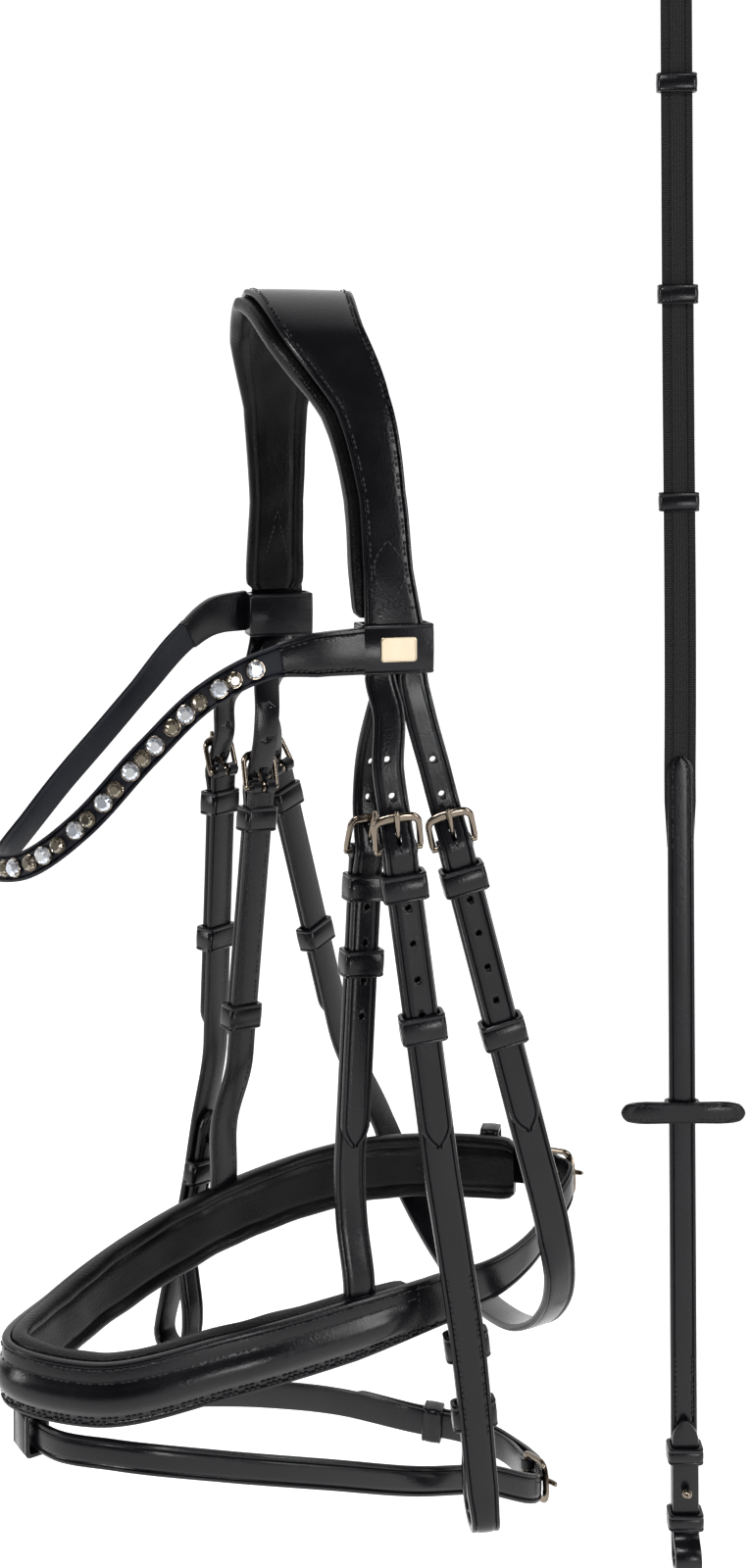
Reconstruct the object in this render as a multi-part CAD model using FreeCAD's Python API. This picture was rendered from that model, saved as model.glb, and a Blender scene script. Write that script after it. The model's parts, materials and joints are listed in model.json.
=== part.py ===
import FreeCAD, Part
import math
import os

# Snaffle bridle hanging from its headpiece, with one rein hanging behind it. Millimetres.
# +X is the horse's left, -Y its nose, +Z up. The origin is the underside of the headpiece
# padding at its highest point, where the bridle rests on the horse's poll.

os.makedirs("parts", exist_ok=True)

# ---------------------------------------------------------------- driving sizes
GAP = 0.4                 # clearance between pieces that lie on each other
STRAP = 16.0              # width of cheekpieces and throatlatch
HANGER = 15.0             # width of the noseband hangers
BILLET = 14.2             # width of the billets that pass through the buckles
FLASH = 13.2              # width of the flash strap
REAR = 17.0               # width of the noseband where it buckles at the rear
THICK = 3.6               # cheekpieces, hangers and throatlatch, two plies each
BILLET_THICK = 3.0        # billets, one ply
PLY = 2.6                 # flash and rear straps, one thin ply
CROWN_THICK = 3.0
PADDING_THICK = 7.4
PADDING_GAP = 1.0         # between the crown and its padding
NOSE_THICK = 4.0
NOSE_HEIGHT = 27.0
NOSE_PAD_THICK = 8.0
NOSE_PAD_HEIGHT = 32.0    # on the right; the left side's is no taller than the leather
HOLE_R = 2.0
HOLE_PITCH = 16.3
BAR_R = 1.5               # heel bar of every buckle
BAR_CLEAR = 0.3           # between the heel bar and the prong's ring
RING_WALL = 1.2           # wall of the prong's ring
LUG_R = 3.6               # strap end folded round the heel bar
LUG_START = 2.4           # the strap's flat part begins this far below the heel bar
BUCKLE_LENGTH = 15.0      # heel bar to the free bar's near edge
BUCKLE_PLATE = 2.6
BUCKLE_LIMB = 2.8
BUCKLE_CLEAR = 0.5        # between the strap's edge and the buckle's limb
FREE_RISE = 4.8           # height of the buckle's free bar over the heel bar
PRONG_WIDTH = 2.2
PRONG_THICK = 1.8
PRONG_LIFT = 0.85         # of the shank over the middle of the free bar
CROSSING = 8.0            # where the prong goes through the billet, above the heel bar
KEEPER_WALL = 1.7
KEEPER_HEIGHT = 12.0
KEEPER_BELOW = 16.0       # fixed keeper's centre below the heel bar
LOOP_R = 9.0              # centreline radius of the fold that holds the bit
BORE_CLEAR = 0.1

UP = FreeCAD.Vector(0, 0, 1)


def vec(x, y, z):
    return FreeCAD.Vector(x, y, z)


def unit(v):
    return v * (1.0 / v.Length)


def save(name, shape):
    """One STEP file per named piece."""
    shape.exportStep("parts/" + name + ".step")
    print(name, "solids", len(shape.Solids), "valid", shape.isValid(), "volume", round(shape.Volume))


# ---------------------------------------------------------------- routes and straps
def smooth(points, widths, acrosses, spacing):
    """Stations (place, tangent, width, across) along a smooth curve through the points."""
    count = len(points)
    chord = [(points[i + 1] - points[i]).Length for i in range(count - 1)]
    slope = [(points[i + 1] - points[i]) * (1.0 / chord[i]) for i in range(count - 1)]
    tangent = [slope[0]]
    for i in range(1, count - 1):
        blend = slope[i - 1] * chord[i] + slope[i] * chord[i - 1]
        tangent.append(blend * (1.0 / (chord[i] + chord[i - 1])))
    tangent.append(slope[-1])
    made = []
    for i in range(count - 1):
        steps = max(1, round(chord[i] / spacing))
        for k in range(steps + (i == count - 2)):
            t = k / steps
            a = points[i] * (2 * t ** 3 - 3 * t ** 2 + 1)
            b = tangent[i] * (chord[i] * (t ** 3 - 2 * t ** 2 + t))
            c = points[i + 1] * (3 * t ** 2 - 2 * t ** 3)
            d = tangent[i + 1] * (chord[i] * (t ** 3 - t ** 2))
            width = widths[i] * (1 - t) + widths[i + 1] * t
            across = acrosses[i] * (1 - t) + acrosses[i + 1] * t
            made.append((a + b + c + d, width, across))
    stations = []
    for i, (place, width, across) in enumerate(made):
        ahead = made[min(i + 1, len(made) - 1)][0]
        behind = made[max(i - 1, 0)][0]
        stations.append((place, unit(ahead - behind), width, across))
    return stations


def spread(value, count):
    return value if isinstance(value, list) else [value] * count


def ribbon(points, across, width, thick, shift=0.0, spacing=11.0):
    """A strap: rectangular sections along a smooth route, as one ruled solid. across is the
    direction of the strap's width; shift moves the strap along its outward normal."""
    widths = spread(width, len(points))
    acrosses = spread(across, len(points))
    sections = []
    for place, tangent, wide, towards in smooth(points, widths, acrosses, spacing):
        side = unit(towards - tangent * towards.dot(tangent))
        out = tangent.cross(side)
        middle = place + out * shift
        half = side * (wide / 2)
        rise = out * (thick / 2)
        corners = [middle - half - rise, middle + half - rise, middle + half + rise, middle - half + rise]
        sections.append(Part.makePolygon(corners + corners[:1]))
    return Part.makeLoft(sections, True, True)


class Frame:
    """A local frame on a strap: x across it, y back up it, z outward; down runs to its tip."""

    def __init__(self, place, down, across):
        self.place = place
        self.down = unit(down)
        self.across = unit(across - self.down * across.dot(self.down))
        self.out = self.down.cross(self.across)

    def at(self, x, y, z):
        return self.place + self.across * x - self.down * y + self.out * z

    def moved(self, y, z=0.0):
        return Frame(self.at(0, y, z), self.down, self.across)

    def put(self, shape):
        up = self.down * -1
        p = self.place
        a = self.across
        n = self.out
        shape.Placement = FreeCAD.Placement(FreeCAD.Matrix(
            a.x, up.x, n.x, p.x,
            a.y, up.y, n.y, p.y,
            a.z, up.z, n.z, p.z,
            0, 0, 0, 1))
        return shape


def walk(points, across):
    """Frames every millimetre or so along a route, each with the distance walked to it."""
    stations = smooth(points, [0.0] * len(points), spread(across, len(points)), 1.0)
    walked = 0.0
    made = []
    for i, (place, tangent, _, towards) in enumerate(stations):
        if i:
            walked += (place - stations[i - 1][0]).Length
        made.append((walked, Frame(place, tangent, towards)))
    return made


def station(line, distance):
    """The frame at a distance along a walked route."""
    return min(line, key=lambda step: abs(step[0] - distance))[1]


def box(x0, x1, y0, y1, z0, z1):
    return Part.makeBox(x1 - x0, y1 - y0, z1 - z0, vec(x0, y0, z0))


def rod(radius, start, end):
    return Part.makeCylinder(radius, (end - start).Length, start, end - start)


# ---------------------------------------------------------------- hardware, in a strap's local frame
HEEL_RISE = LUG_R + GAP + BILLET_THICK / 2 + 0.1             # billet's centre over the heel bar
TAIL_RISE = THICK / 2 + GAP + BILLET_THICK / 2 + 0.1         # and where it lies on the strap


def buckle(width):
    """A rounded bridle buckle: flat frame with a round heel bar across its lower end."""
    half = width / 2 + BUCKLE_CLEAR
    ends = half + BUCKLE_LIMB
    outer = box(-ends, ends, 0, BUCKLE_LENGTH + BUCKLE_LIMB, -BUCKLE_PLATE / 2, BUCKLE_PLATE / 2)
    upright = [e for e in outer.Edges if abs(e.Length - BUCKLE_PLATE) < 0.01]
    outer = outer.makeFillet(3.5, [e for e in upright if e.BoundBox.YMin > BUCKLE_LENGTH])
    frame = outer.cut(box(-half, half, -1, BUCKLE_LENGTH, -BUCKLE_PLATE, BUCKLE_PLATE))
    frame.rotate(vec(0, 0, 0), vec(1, 0, 0), math.degrees(math.atan2(FREE_RISE, BUCKLE_LENGTH)))
    return frame.fuse(rod(BAR_R, vec(-ends, 0, 0), vec(ends, 0, 0))).removeSplitter()


def prong():
    """The tongue: a ring that turns on the heel bar and a shank that rests on the free bar."""
    inner = BAR_R + BAR_CLEAR
    half = PRONG_WIDTH / 2
    reach = BUCKLE_LENGTH + BUCKLE_LIMB / 2
    rise = reach * FREE_RISE / BUCKLE_LENGTH + BUCKLE_PLATE / 2 + PRONG_THICK / 2 + PRONG_LIFT
    shank = box(-half, half, inner + 0.3, reach + 3.0, -PRONG_THICK / 2, PRONG_THICK / 2)
    shank.rotate(vec(0, 0, 0), vec(1, 0, 0), math.degrees(math.atan2(rise, reach)))
    ring = rod(inner + RING_WALL, vec(-half, 0, 0), vec(half, 0, 0))
    bore = rod(inner, vec(-PRONG_WIDTH, 0, 0), vec(PRONG_WIDTH, 0, 0))
    return ring.fuse(shank).cut(bore).removeSplitter()


def with_lug(strap, frame, width):
    """The strap with its end folded round the heel bar, and slotted for the prong."""
    half = PRONG_WIDTH / 2 + 0.6
    body = rod(LUG_R, vec(-width / 2, 0, 0), vec(width / 2, 0, 0))
    bore = rod(BAR_R + 0.2, vec(-width, 0, 0), vec(width, 0, 0))
    slot = box(-half, half, -LUG_R - 0.2, LUG_R + 1, -LUG_R - 1, LUG_R + 1)
    return strap.fuse(frame.put(body)).cut(frame.put(bore.fuse(slot))).removeSplitter()


def prong_slot():
    """The hole in a billet where the prong passes, long enough for the prong to open."""
    half = PRONG_WIDTH / 2 + 0.5
    return box(-half, half, 1.8, 12.8, -3.5, 9.5)


def punched(distances):
    return [rod(HOLE_R, vec(0, y, -4), vec(0, y, 12)) for y in distances]


def keeper(width, low, high, height=KEEPER_HEIGHT):
    """A leather loop round a strap: low and high are its inside faces along the normal."""
    half = width / 2 + 0.5
    wall = half + KEEPER_WALL
    outer = box(-wall, wall, -height / 2, height / 2, low - KEEPER_WALL, high + KEEPER_WALL)
    corners = [e for e in outer.Edges if abs(e.Length - height) < 0.01]
    return outer.makeFillet(1.2, corners).cut(box(-half, half, -height, height, low, high))


def hook_stud():
    """A hook stud pointing along -z from a strap's face: thin foot, stem and rounded head."""
    foot = rod(3.2, vec(0, 0, -0.4), vec(0, 0, -0.1))
    stem = rod(1.4, vec(0, 0, -7.0), vec(0, 0, -0.2))
    head = Part.makeSphere(2.6, vec(0, 0.8, -7.5))
    return foot.fuse([stem, head]).removeSplitter()


class Buckled:
    """A billet hanging through a buckle, and the hardware on the strap it is buckled to."""

    def __init__(self, buckle_at, tip_at, across, width, end, top, runner_below):
        self.frame = Frame(buckle_at, tip_at - buckle_at, across)
        self.reach = (tip_at - buckle_at).Length
        self.billet = self.make_billet(end, top)
        self.buckle = self.frame.put(buckle(width))
        self.prong = self.frame.put(prong())
        low = -THICK / 2 - GAP
        high = TAIL_RISE + BILLET_THICK / 2 + GAP
        self.keeper = self.frame.moved(-KEEPER_BELOW).put(keeper(width, low, high))
        self.runner = self.frame.moved(-runner_below).put(keeper(width, low, high))
        # the strap below the buckle stays straight to just past the billet's tip
        straight = (-LUG_START, -self.reach / 2, -self.reach + 4, -self.reach - 8)
        self.route = [self.frame.at(0, y, 0) for y in straight]

    def make_billet(self, end, top):
        """Down from the crown's end, through the buckle, over its heel bar and along the strap."""
        down = (36, 0.0), (19, 0.3), (CROSSING, 3.2), (0, HEEL_RISE), (-8.5, TAIL_RISE + 0.1), (-20, TAIL_RISE)
        tail = [(-self.reach + y, TAIL_RISE) for y in (12, 4, 0)]
        route = top + [self.frame.at(0, y, z) for y, z in list(down) + tail]
        widths = [BILLET * 0.35] + [BILLET] * (len(route) - 3) + [BILLET * 0.8, BILLET * 0.3]
        # inside the browband's loop it lies as the crown does, and it turns below that
        acrosses = [end.across] * 2 + [self.frame.across] * (len(route) - 2)
        strap = ribbon(route, acrosses, widths, BILLET_THICK)
        above = [CROSSING + k * HOLE_PITCH for k in (1, 2)]
        below = [CROSSING - k * HOLE_PITCH for k in (2, 3, 4, 5)]
        cuts = [prong_slot()] + punched(above + below)
        return strap.cut([self.frame.put(c) for c in cuts])


# ---------------------------------------------------------------- headpiece
HEAD_ACROSS = vec(0.25, 0.97, 0)          # the headpiece hangs turned a little to the left
CROWN = [
    vec(-78, 29, -152), vec(-75, 27.5, -125), vec(-70, 26, -92), vec(-61, 21, -42), vec(-38, 11, -7),
    vec(0, 0.5, PADDING_THICK + PADDING_GAP + CROWN_THICK / 2),
    vec(38, -7, -9), vec(60, 2, -43), vec(71, 6, -84), vec(76.5, 6, -118), vec(79, 8.6, -152),
]
CROWN_WIDTHS = [28.5, 25, 23, 28, 43, 52, 41, 27, 22, 23, 28.5]
ROLL = 5.0                                # the padding shows this far in front of the crown
LINING_END = 15.5                         # the padding stops this far above the crown's ends
LEFT_END = Frame(CROWN[-1], vec(0, 0, -1), HEAD_ACROSS)
RIGHT_END = Frame(CROWN[0], vec(0, 0, -1), HEAD_ACROSS * -1)
SIDE_BY_SIDE = BILLET / 2 + 0.25          # two billets lie side by side below the crown
INBOARD = -6.6                            # the noseband's billet hangs behind those two


def headpiece():
    save("headpiece_crown", ribbon(CROWN, HEAD_ACROSS, CROWN_WIDTHS, CROWN_THICK))
    line = walk(CROWN, HEAD_ACROSS)
    ends = [station(line, d).place for d in (LINING_END, line[-1][0] - LINING_END)]
    lining = ends[:1] + CROWN[1:-1] + ends[1:]
    route = [p - HEAD_ACROSS * (ROLL / 2) for p in lining]
    shift = -(CROWN_THICK / 2 + PADDING_GAP + PADDING_THICK / 2)
    widths = [w + ROLL for w in CROWN_WIDTHS]
    widths[0] = widths[1]
    widths[-1] = widths[-2]
    save("headpiece_padding", ribbon(route, HEAD_ACROSS, widths, PADDING_THICK, shift))


def below_crown(end, across):
    """The top of a billet, from just under the crown's end to just below the browband's loop."""
    return [end.at(across, -1.6, 0), end.at(across, -12.5, 0)]


# ---------------------------------------------------------------- browband
BAND_THICK = 4.0
BROW = [
    vec(-83, 11.5, -150.5), vec(-80.5, -6, -152), vec(-75, -25, -162), vec(-69, -52, -186),
    vec(-63, -73, -204), vec(-54, -98, -224), vec(-42, -119, -240), vec(-25, -137, -249.5),
    vec(0, -145, -247), vec(21, -140, -241.5), vec(38, -125, -225), vec(54, -100, -192.5),
    vec(64, -76, -168), vec(71, -50, -155.5), vec(75, -30, -153), vec(76.5, -9, -152.5),
]
BROW_WIDTHS = [20, 18.5, 13.5] + [11.5] * 10 + [12.5, 18.5, 20]
CRYSTAL_PITCH = 17.0
CLEAR_R = 4.15
SMOKY_R = 3.6
STONE_LIFT = 0.3          # the flat cups clear the band's curve
LEATHER_END = 44.0        # plain leather at each end of the row of crystals
LOOP_WIDTH = 2 * SIDE_BY_SIDE + BILLET
LOOP_HEIGHT = 22.0
LOOP_INSIDE = -10.2
LOOP_OUTSIDE = CROWN_THICK / 2 + 0.6
PLATE = (16.5, 11.0, 1.2)


def crystal(radius):
    """A round cut stone in its cup, standing on z = 0."""
    cup = Part.makeCylinder(radius, 1.4)
    stone = Part.makeCone(radius - 0.4, radius * 0.55, 2.4, vec(0, 0, 1.4))
    return cup.fuse(stone).removeSplitter()


def browband():
    save("browband_strap", ribbon(BROW, UP, BROW_WIDTHS, BAND_THICK, spacing=9.0))
    line = walk(BROW, UP)
    length = line[-1][0]
    count = int((length - 2 * LEATHER_END) // CRYSTAL_PITCH)
    first = (length - count * CRYSTAL_PITCH) / 2
    clear = [first + k * CRYSTAL_PITCH for k in range(count + 1)]
    smoky = [first + (k + 0.5) * CRYSTAL_PITCH for k in range(count)]
    for name, radius, distances in (("clear", CLEAR_R, clear), ("smoky", SMOKY_R, smoky)):
        row = [station(line, d).moved(0, BAND_THICK / 2 + STONE_LIFT).put(crystal(radius)) for d in distances]
        save("browband_crystals_" + name, Part.makeCompound(row))
    for side, end in (("left", LEFT_END), ("right", RIGHT_END)):
        loop = keeper(LOOP_WIDTH, LOOP_INSIDE, LOOP_OUTSIDE, LOOP_HEIGHT)
        save("browband_loop_" + side, end.put(loop))
    wide, high, thick = PLATE
    plate = box(-wide / 2, wide / 2, -high / 2, high / 2, 0, thick)
    plate = plate.makeFillet(2.0, [e for e in plate.Edges if abs(e.Length - thick) < 0.01])
    save("browband_plate", LEFT_END.moved(0, LOOP_OUTSIDE + KEEPER_WALL).put(plate))


# ---------------------------------------------------------------- cheekpieces
LEFT_ACROSS = vec(0.36, 0.93, 0)
RIGHT_ACROSS = vec(0.39, -0.92, 0)
RETURN = -(THICK + GAP + 0.1)             # the folded-back ply, behind the strap
RETURN_LENGTH = 108.0
LOOP_STRAP = 13.0                         # width of the strap in the fold and behind
STUD_ABOVE = 92.0                         # hook stud's distance above the fold
CHEEK_KEEPERS = (46.0, 78.0)
SEWN_DEPTH = 0.4          # where these keepers' ends stop beside the front ply, its face left clear


def bit_loop(base):
    """Route of the fold that holds the bit ring, from the front ply to the returned one."""
    points = []
    for degrees in range(0, 181, 30):
        turn = math.radians(degrees)
        points.append(base.at(0, -LOOP_R * math.sin(turn), -LOOP_R + LOOP_R * math.cos(turn)))
    neck = [(10, -2 * LOOP_R + 1.8), (24, -9.8), (36, RETURN - 0.3)]
    return points + [base.at(0, y, z) for y, z in neck]


def cheek(side, pair, across, lower):
    base = Frame(lower[-1], lower[-1] - lower[-2], across)
    front = pair.route + lower[:-1] + [base.at(0, 12, 0)]
    line = walk(front + [base.place], across)
    length = line[-1][0]
    behind = [station(line, length - y).at(0, 0, RETURN) for y in (46, 76, RETURN_LENGTH)]
    fold = bit_loop(base) + behind
    widths = [STRAP] * (len(front) - 1) + [STRAP - 1.5] + [LOOP_STRAP] * (len(fold) - 1) + [8]
    strap = with_lug(ribbon(front + fold, across, widths, THICK, spacing=14.0), pair.frame, STRAP)
    centre = base.at(0, 0, -LOOP_R)
    bore = rod(LOOP_R - THICK / 2 + BORE_CLEAR, centre - base.across * 20, centre + base.across * 20)
    stud_at = station(line, length - STUD_ABOVE)
    stud_hole = stud_at.put(rod(1.8, vec(0, 0, -9), vec(0, 0, -THICK / 2 - GAP / 2)))
    save("cheekpiece_" + side, strap.cut([bore, stud_hole]))
    save("cheek_billet_" + side, pair.billet)
    save("cheek_buckle_" + side, pair.buckle)
    save("cheek_prong_" + side, pair.prong)
    save("cheek_runner_" + side, pair.runner)
    inside = RETURN - THICK / 2 - GAP
    loop = keeper(STRAP, inside, THICK / 2 + GAP)
    open_front = box(-STRAP, STRAP, -KEEPER_HEIGHT, KEEPER_HEIGHT, SEWN_DEPTH, 2 * THICK)
    loops = [station(line, length - y).put(loop.cut(open_front)) for y in CHEEK_KEEPERS]
    save("cheek_keepers_" + side, Part.makeCompound([pair.keeper] + loops))
    save("bit_hook_stud_" + side, stud_at.moved(0, -THICK / 2).put(hook_stud()))
    print("bit loop", side, centre, base.across, "heel bar", pair.frame.place, pair.frame.down)


def cheeks():
    left = Buckled(vec(84, 7, -240), vec(86, 26, -373), LEFT_ACROSS, STRAP, LEFT_END,
                   below_crown(LEFT_END, -SIDE_BY_SIDE) + [vec(81, 3.5, -180)], 80)
    cheek("left", left, LEFT_ACROSS,
          [vec(86.5, 33, -415), vec(87.2, 41, -465), vec(88, 50, -545.5)])
    right = Buckled(vec(-84, 1, -233), vec(-86, -2.5, -367), RIGHT_ACROSS, STRAP, RIGHT_END,
                    below_crown(RIGHT_END, SIDE_BY_SIDE) + [vec(-80, 16, -180)], 86)
    cheek("right", right, RIGHT_ACROSS,
          [vec(-87, -9, -412), vec(-88, -15, -450), vec(-88, -30, -513)])


# ---------------------------------------------------------------- noseband and its hangers
NOSE = [
    vec(-22, 142, -444), vec(-45, 117, -445), vec(-61, 75, -444), vec(-68, 5, -451),
    vec(-61, -55, -462.5), vec(-39, -108, -472), vec(0, -143, -469), vec(38, -116, -469),
    vec(59, -62, -461), vec(65.5, -5, -457), vec(64, 43, -455),
]
REAR_BUCKLE = Frame(vec(-1, 145, -440), vec(-1, -0.14, -0.1), UP)
REAR_OVERLAP = 12.0       # the rear strap is sewn behind the noseband's left end
REAR_TIP = 104.0          # its tip, along the noseband from the rear buckle
NOSE_KEEPERS = (34.0, 62.0)
FLASH_LOOP = Frame(vec(2, -133, -495.5), vec(1, 0.05, 0), UP)
FLASH_LOOP_ROOM = 3.8     # from the strap's middle to the loop's inside faces: the strap can turn in it


def hangers():
    left_top = [LEFT_END.at(0, 0.5, INBOARD), LEFT_END.at(0, -11.5, INBOARD), vec(66.5, 9, -178)]
    right_top = [RIGHT_END.at(0, 0.5, INBOARD), RIGHT_END.at(0, -11.5, INBOARD), vec(-66, 18, -178)]
    left = Buckled(vec(52, 8, -247), vec(54, -0.5, -379), vec(0.1, 0.99, 0), HANGER, LEFT_END,
                   left_top, 50)
    right = Buckled(vec(-52, 7, -236.5), vec(-54, -3.5, -366), vec(0.16, -0.99, 0), HANGER, RIGHT_END,
                    right_top, 115)
    for side, pair, lower in (
            ("left", left, [vec(56, -1, -414), vec(59.5, 0, -440)]),
            ("right", right, [vec(-57.5, -11, -404), vec(-61.8, -9, -434.5)])):
        strap = ribbon(pair.route + lower, pair.frame.across, HANGER, THICK)
        save("noseband_hanger_" + side, with_lug(strap, pair.frame, HANGER))
        save("noseband_billet_" + side, pair.billet)
        save("hanger_prong_" + side, pair.prong)
        save("hanger_runner_" + side, pair.runner)
        print("hanger", side, "heel bar", pair.frame.place, pair.frame.down)
    save("hanger_buckles", Part.makeCompound([left.buckle, right.buckle]))
    save("hanger_keepers", Part.makeCompound([left.keeper, right.keeper]))


def noseband():
    chape = REAR_BUCKLE.at(0, -LUG_START, 0)
    route = [chape] + NOSE
    line = walk(route, UP)
    widths = [REAR, REAR + 2, NOSE_HEIGHT - 1] + [NOSE_HEIGHT] * (len(NOSE) - 2)
    front = ribbon(route, UP, widths, NOSE_THICK, spacing=10.0)
    save("noseband_front", with_lug(front, REAR_BUCKLE, REAR))

    low = -NOSE_THICK / 2 - GAP
    high = NOSE_THICK / 2 + 2 * GAP + PLY + 0.4
    lining_end = line[-1][0] - REAR_OVERLAP - 4
    lining = NOSE[:-1] + [station(line, lining_end).place]
    heights = [NOSE_PAD_HEIGHT] * 6 + [NOSE_PAD_HEIGHT - 3] + [NOSE_HEIGHT + 1] * 4
    padding = ribbon(lining, UP, heights, NOSE_PAD_THICK, low - NOSE_PAD_THICK / 2, spacing=10.0)
    keepers = []
    for distance in NOSE_KEEPERS:
        at = station(line, distance)
        keepers.append(at.put(keeper(NOSE_PAD_HEIGHT, low, high, 10.0)))
        pocket = box(-30, 30, -5 - GAP, 5 + GAP, low - KEEPER_WALL - GAP, 0)
        padding = padding.cut(at.put(pocket))
    save("noseband_padding", padding)
    save("noseband_keepers", Part.makeCompound(keepers))

    rise = NOSE_THICK / 2 + GAP + 0.3 + PLY / 2
    left_end = Frame(NOSE[-1], NOSE[-1] - NOSE[-2], UP)
    sewn = [left_end.at(0, y, low - 0.1 - PLY / 2) for y in (REAR_OVERLAP, 2)]
    left = [vec(59, 70, -455.5), vec(48, 100, -454), vec(32, 126, -449)]
    over = [(19, 0.3), (CROSSING, 3.2), (0, HEEL_RISE), (-9, rise + 1)]
    tail = [station(line, d).at(0, 0, rise) for d in (22, 40, 60, 80, REAR_TIP - 12, REAR_TIP - 4, REAR_TIP)]
    rear = sewn + left + [REAR_BUCKLE.at(0, y, z) for y, z in over] + tail
    rear_widths = [20, 20, 19, 17] + [REAR - 1.5] * (len(rear) - 6) + [REAR * 0.75, REAR * 0.3]
    strap = ribbon(rear, UP, rear_widths, PLY, spacing=9.0)
    save("noseband_rear_strap", strap.cut(REAR_BUCKLE.put(prong_slot())))
    save("noseband_buckle", REAR_BUCKLE.put(buckle(REAR)))
    save("noseband_prong", REAR_BUCKLE.put(prong()))
    save("flash_loop", FLASH_LOOP.put(keeper(FLASH + 1.2, -FLASH_LOOP_ROOM, FLASH_LOOP_ROOM, 15.0)))


# ---------------------------------------------------------------- flash strap
FLASH_BUCKLE = Frame(vec(32, 112, -571), vec(-0.93, 0.33, -0.18), UP)
FLASH_RING = [
    vec(0, 119, -577), vec(-24, 111, -577), vec(-42, 94, -576), vec(-53, 55, -561), vec(-54, 10, -545),
    vec(-50, -40, -529), vec(-39, -92, -509), vec(-20, -125, -498), vec(2, -133, -495.5),
    vec(22, -129, -494.5), vec(42, -110, -494.5), vec(56, -66, -505), vec(61, -15, -521),
    vec(60, 30, -537.5), vec(55, 72, -551.5),
]
FLASH_TIP = 122.0         # along the strap from the flash buckle
FLASH_KEEPERS = (50.0, 74.0)
RUNNER_PLAY = 0.5         # extra room that lets the flash runner pass along the curved strap


def flash():
    chape = FLASH_BUCKLE.at(0, -LUG_START, 0)
    line = walk([chape] + FLASH_RING, UP)
    rise = PLY + GAP + 0.3
    over = [(18, 0.5), (CROSSING, 3.2), (0, HEEL_RISE), (-9, rise + 1.4)]
    tail = [station(line, d).at(0, 0, rise) for d in (24, 44, 64, 84, FLASH_TIP - 12, FLASH_TIP - 4, FLASH_TIP)]
    route = [chape] + FLASH_RING + [FLASH_BUCKLE.at(0, y, z) for y, z in over] + tail
    widths = [FLASH] * (len(route) - 2) + [FLASH * 0.8, FLASH * 0.35]
    strap = with_lug(ribbon(route, UP, widths, PLY, spacing=9.0), FLASH_BUCKLE, FLASH)
    save("flash_strap", strap.cut(FLASH_BUCKLE.put(prong_slot())))
    save("flash_buckle", FLASH_BUCKLE.put(buckle(FLASH)))
    save("flash_prong", FLASH_BUCKLE.put(prong()))
    low = -PLY / 2 - GAP
    high = rise + PLY / 2 + GAP
    fixed, slides = (station(line, distance) for distance in FLASH_KEEPERS)
    save("flash_keeper", fixed.put(keeper(FLASH, low, high, 10.0)))
    save("flash_runner", slides.put(keeper(FLASH, low - RUNNER_PLAY, high + RUNNER_PLAY, 10.0)))


# ---------------------------------------------------------------- throatlatch
UNDER_JAW = [
    vec(88, 88, -427), vec(86.5, 92, -445), vec(81, 95, -459), vec(68, 98, -475), vec(46, 101, -489),
    vec(15, 105, -497), vec(-22, 110, -498), vec(-52, 110, -486), vec(-72, 104, -462), vec(-81, 95, -432),
]


def throatlatch():
    left = Buckled(vec(84, 36, -241), vec(88, 73, -374), LEFT_ACROSS, STRAP, LEFT_END,
                   below_crown(LEFT_END, SIDE_BY_SIDE) + [vec(81.5, 19, -180)], 90)
    right = Buckled(vec(-84, 34, -235), vec(-83, 67.5, -370), RIGHT_ACROSS, STRAP, RIGHT_END,
                    below_crown(RIGHT_END, -SIDE_BY_SIDE) + [vec(-80, 32, -180)], 93)
    route = left.route + UNDER_JAW + right.route[::-1]
    across = [LEFT_ACROSS] * 5 + [vec(0, 1, 0)] * (len(route) - 10) + [RIGHT_ACROSS * -1] * 5
    strap = ribbon(route, across, STRAP, THICK, spacing=13.0)
    strap = with_lug(strap, left.frame, STRAP)
    save("throatlatch", with_lug(strap, right.frame, STRAP))
    for side, pair in (("left", left), ("right", right)):
        save("throat_billet_" + side, pair.billet)
        save("throat_prong_" + side, pair.prong)
        save("throat_runner_" + side, pair.runner)
        print("throat", side, "heel bar", pair.frame.place, pair.frame.down)
    save("throat_buckles", Part.makeCompound([left.buckle, right.buckle]))
    save("throat_keepers", Part.makeCompound([left.keeper, right.keeper]))


# ---------------------------------------------------------------- rein
REIN = Frame(vec(59.1, 184.4, 0), vec(0.0027, 0.0046, -1), vec(0.5, 0.866, 0))
REIN_WEB = 15.8
REIN_LEATHER = 13.2
REIN_THICK = 3.4
REIN_TOP = 168.0          # heights on the rein: its buckle, the web's end and the fold
REIN_TAB = -219.5
REIN_BASE = -616.0
REIN_LOOP_R = 6.5
REIN_STOPS = (118.0, 12.0, -92.0)
REIN_KEEPERS = (-567.0, -600.0)
REIN_STUD = -585.0
MARTINGALE_STOP = -397.0
STOP_HALF = 31.0          # half the length of the martingale stop


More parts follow.
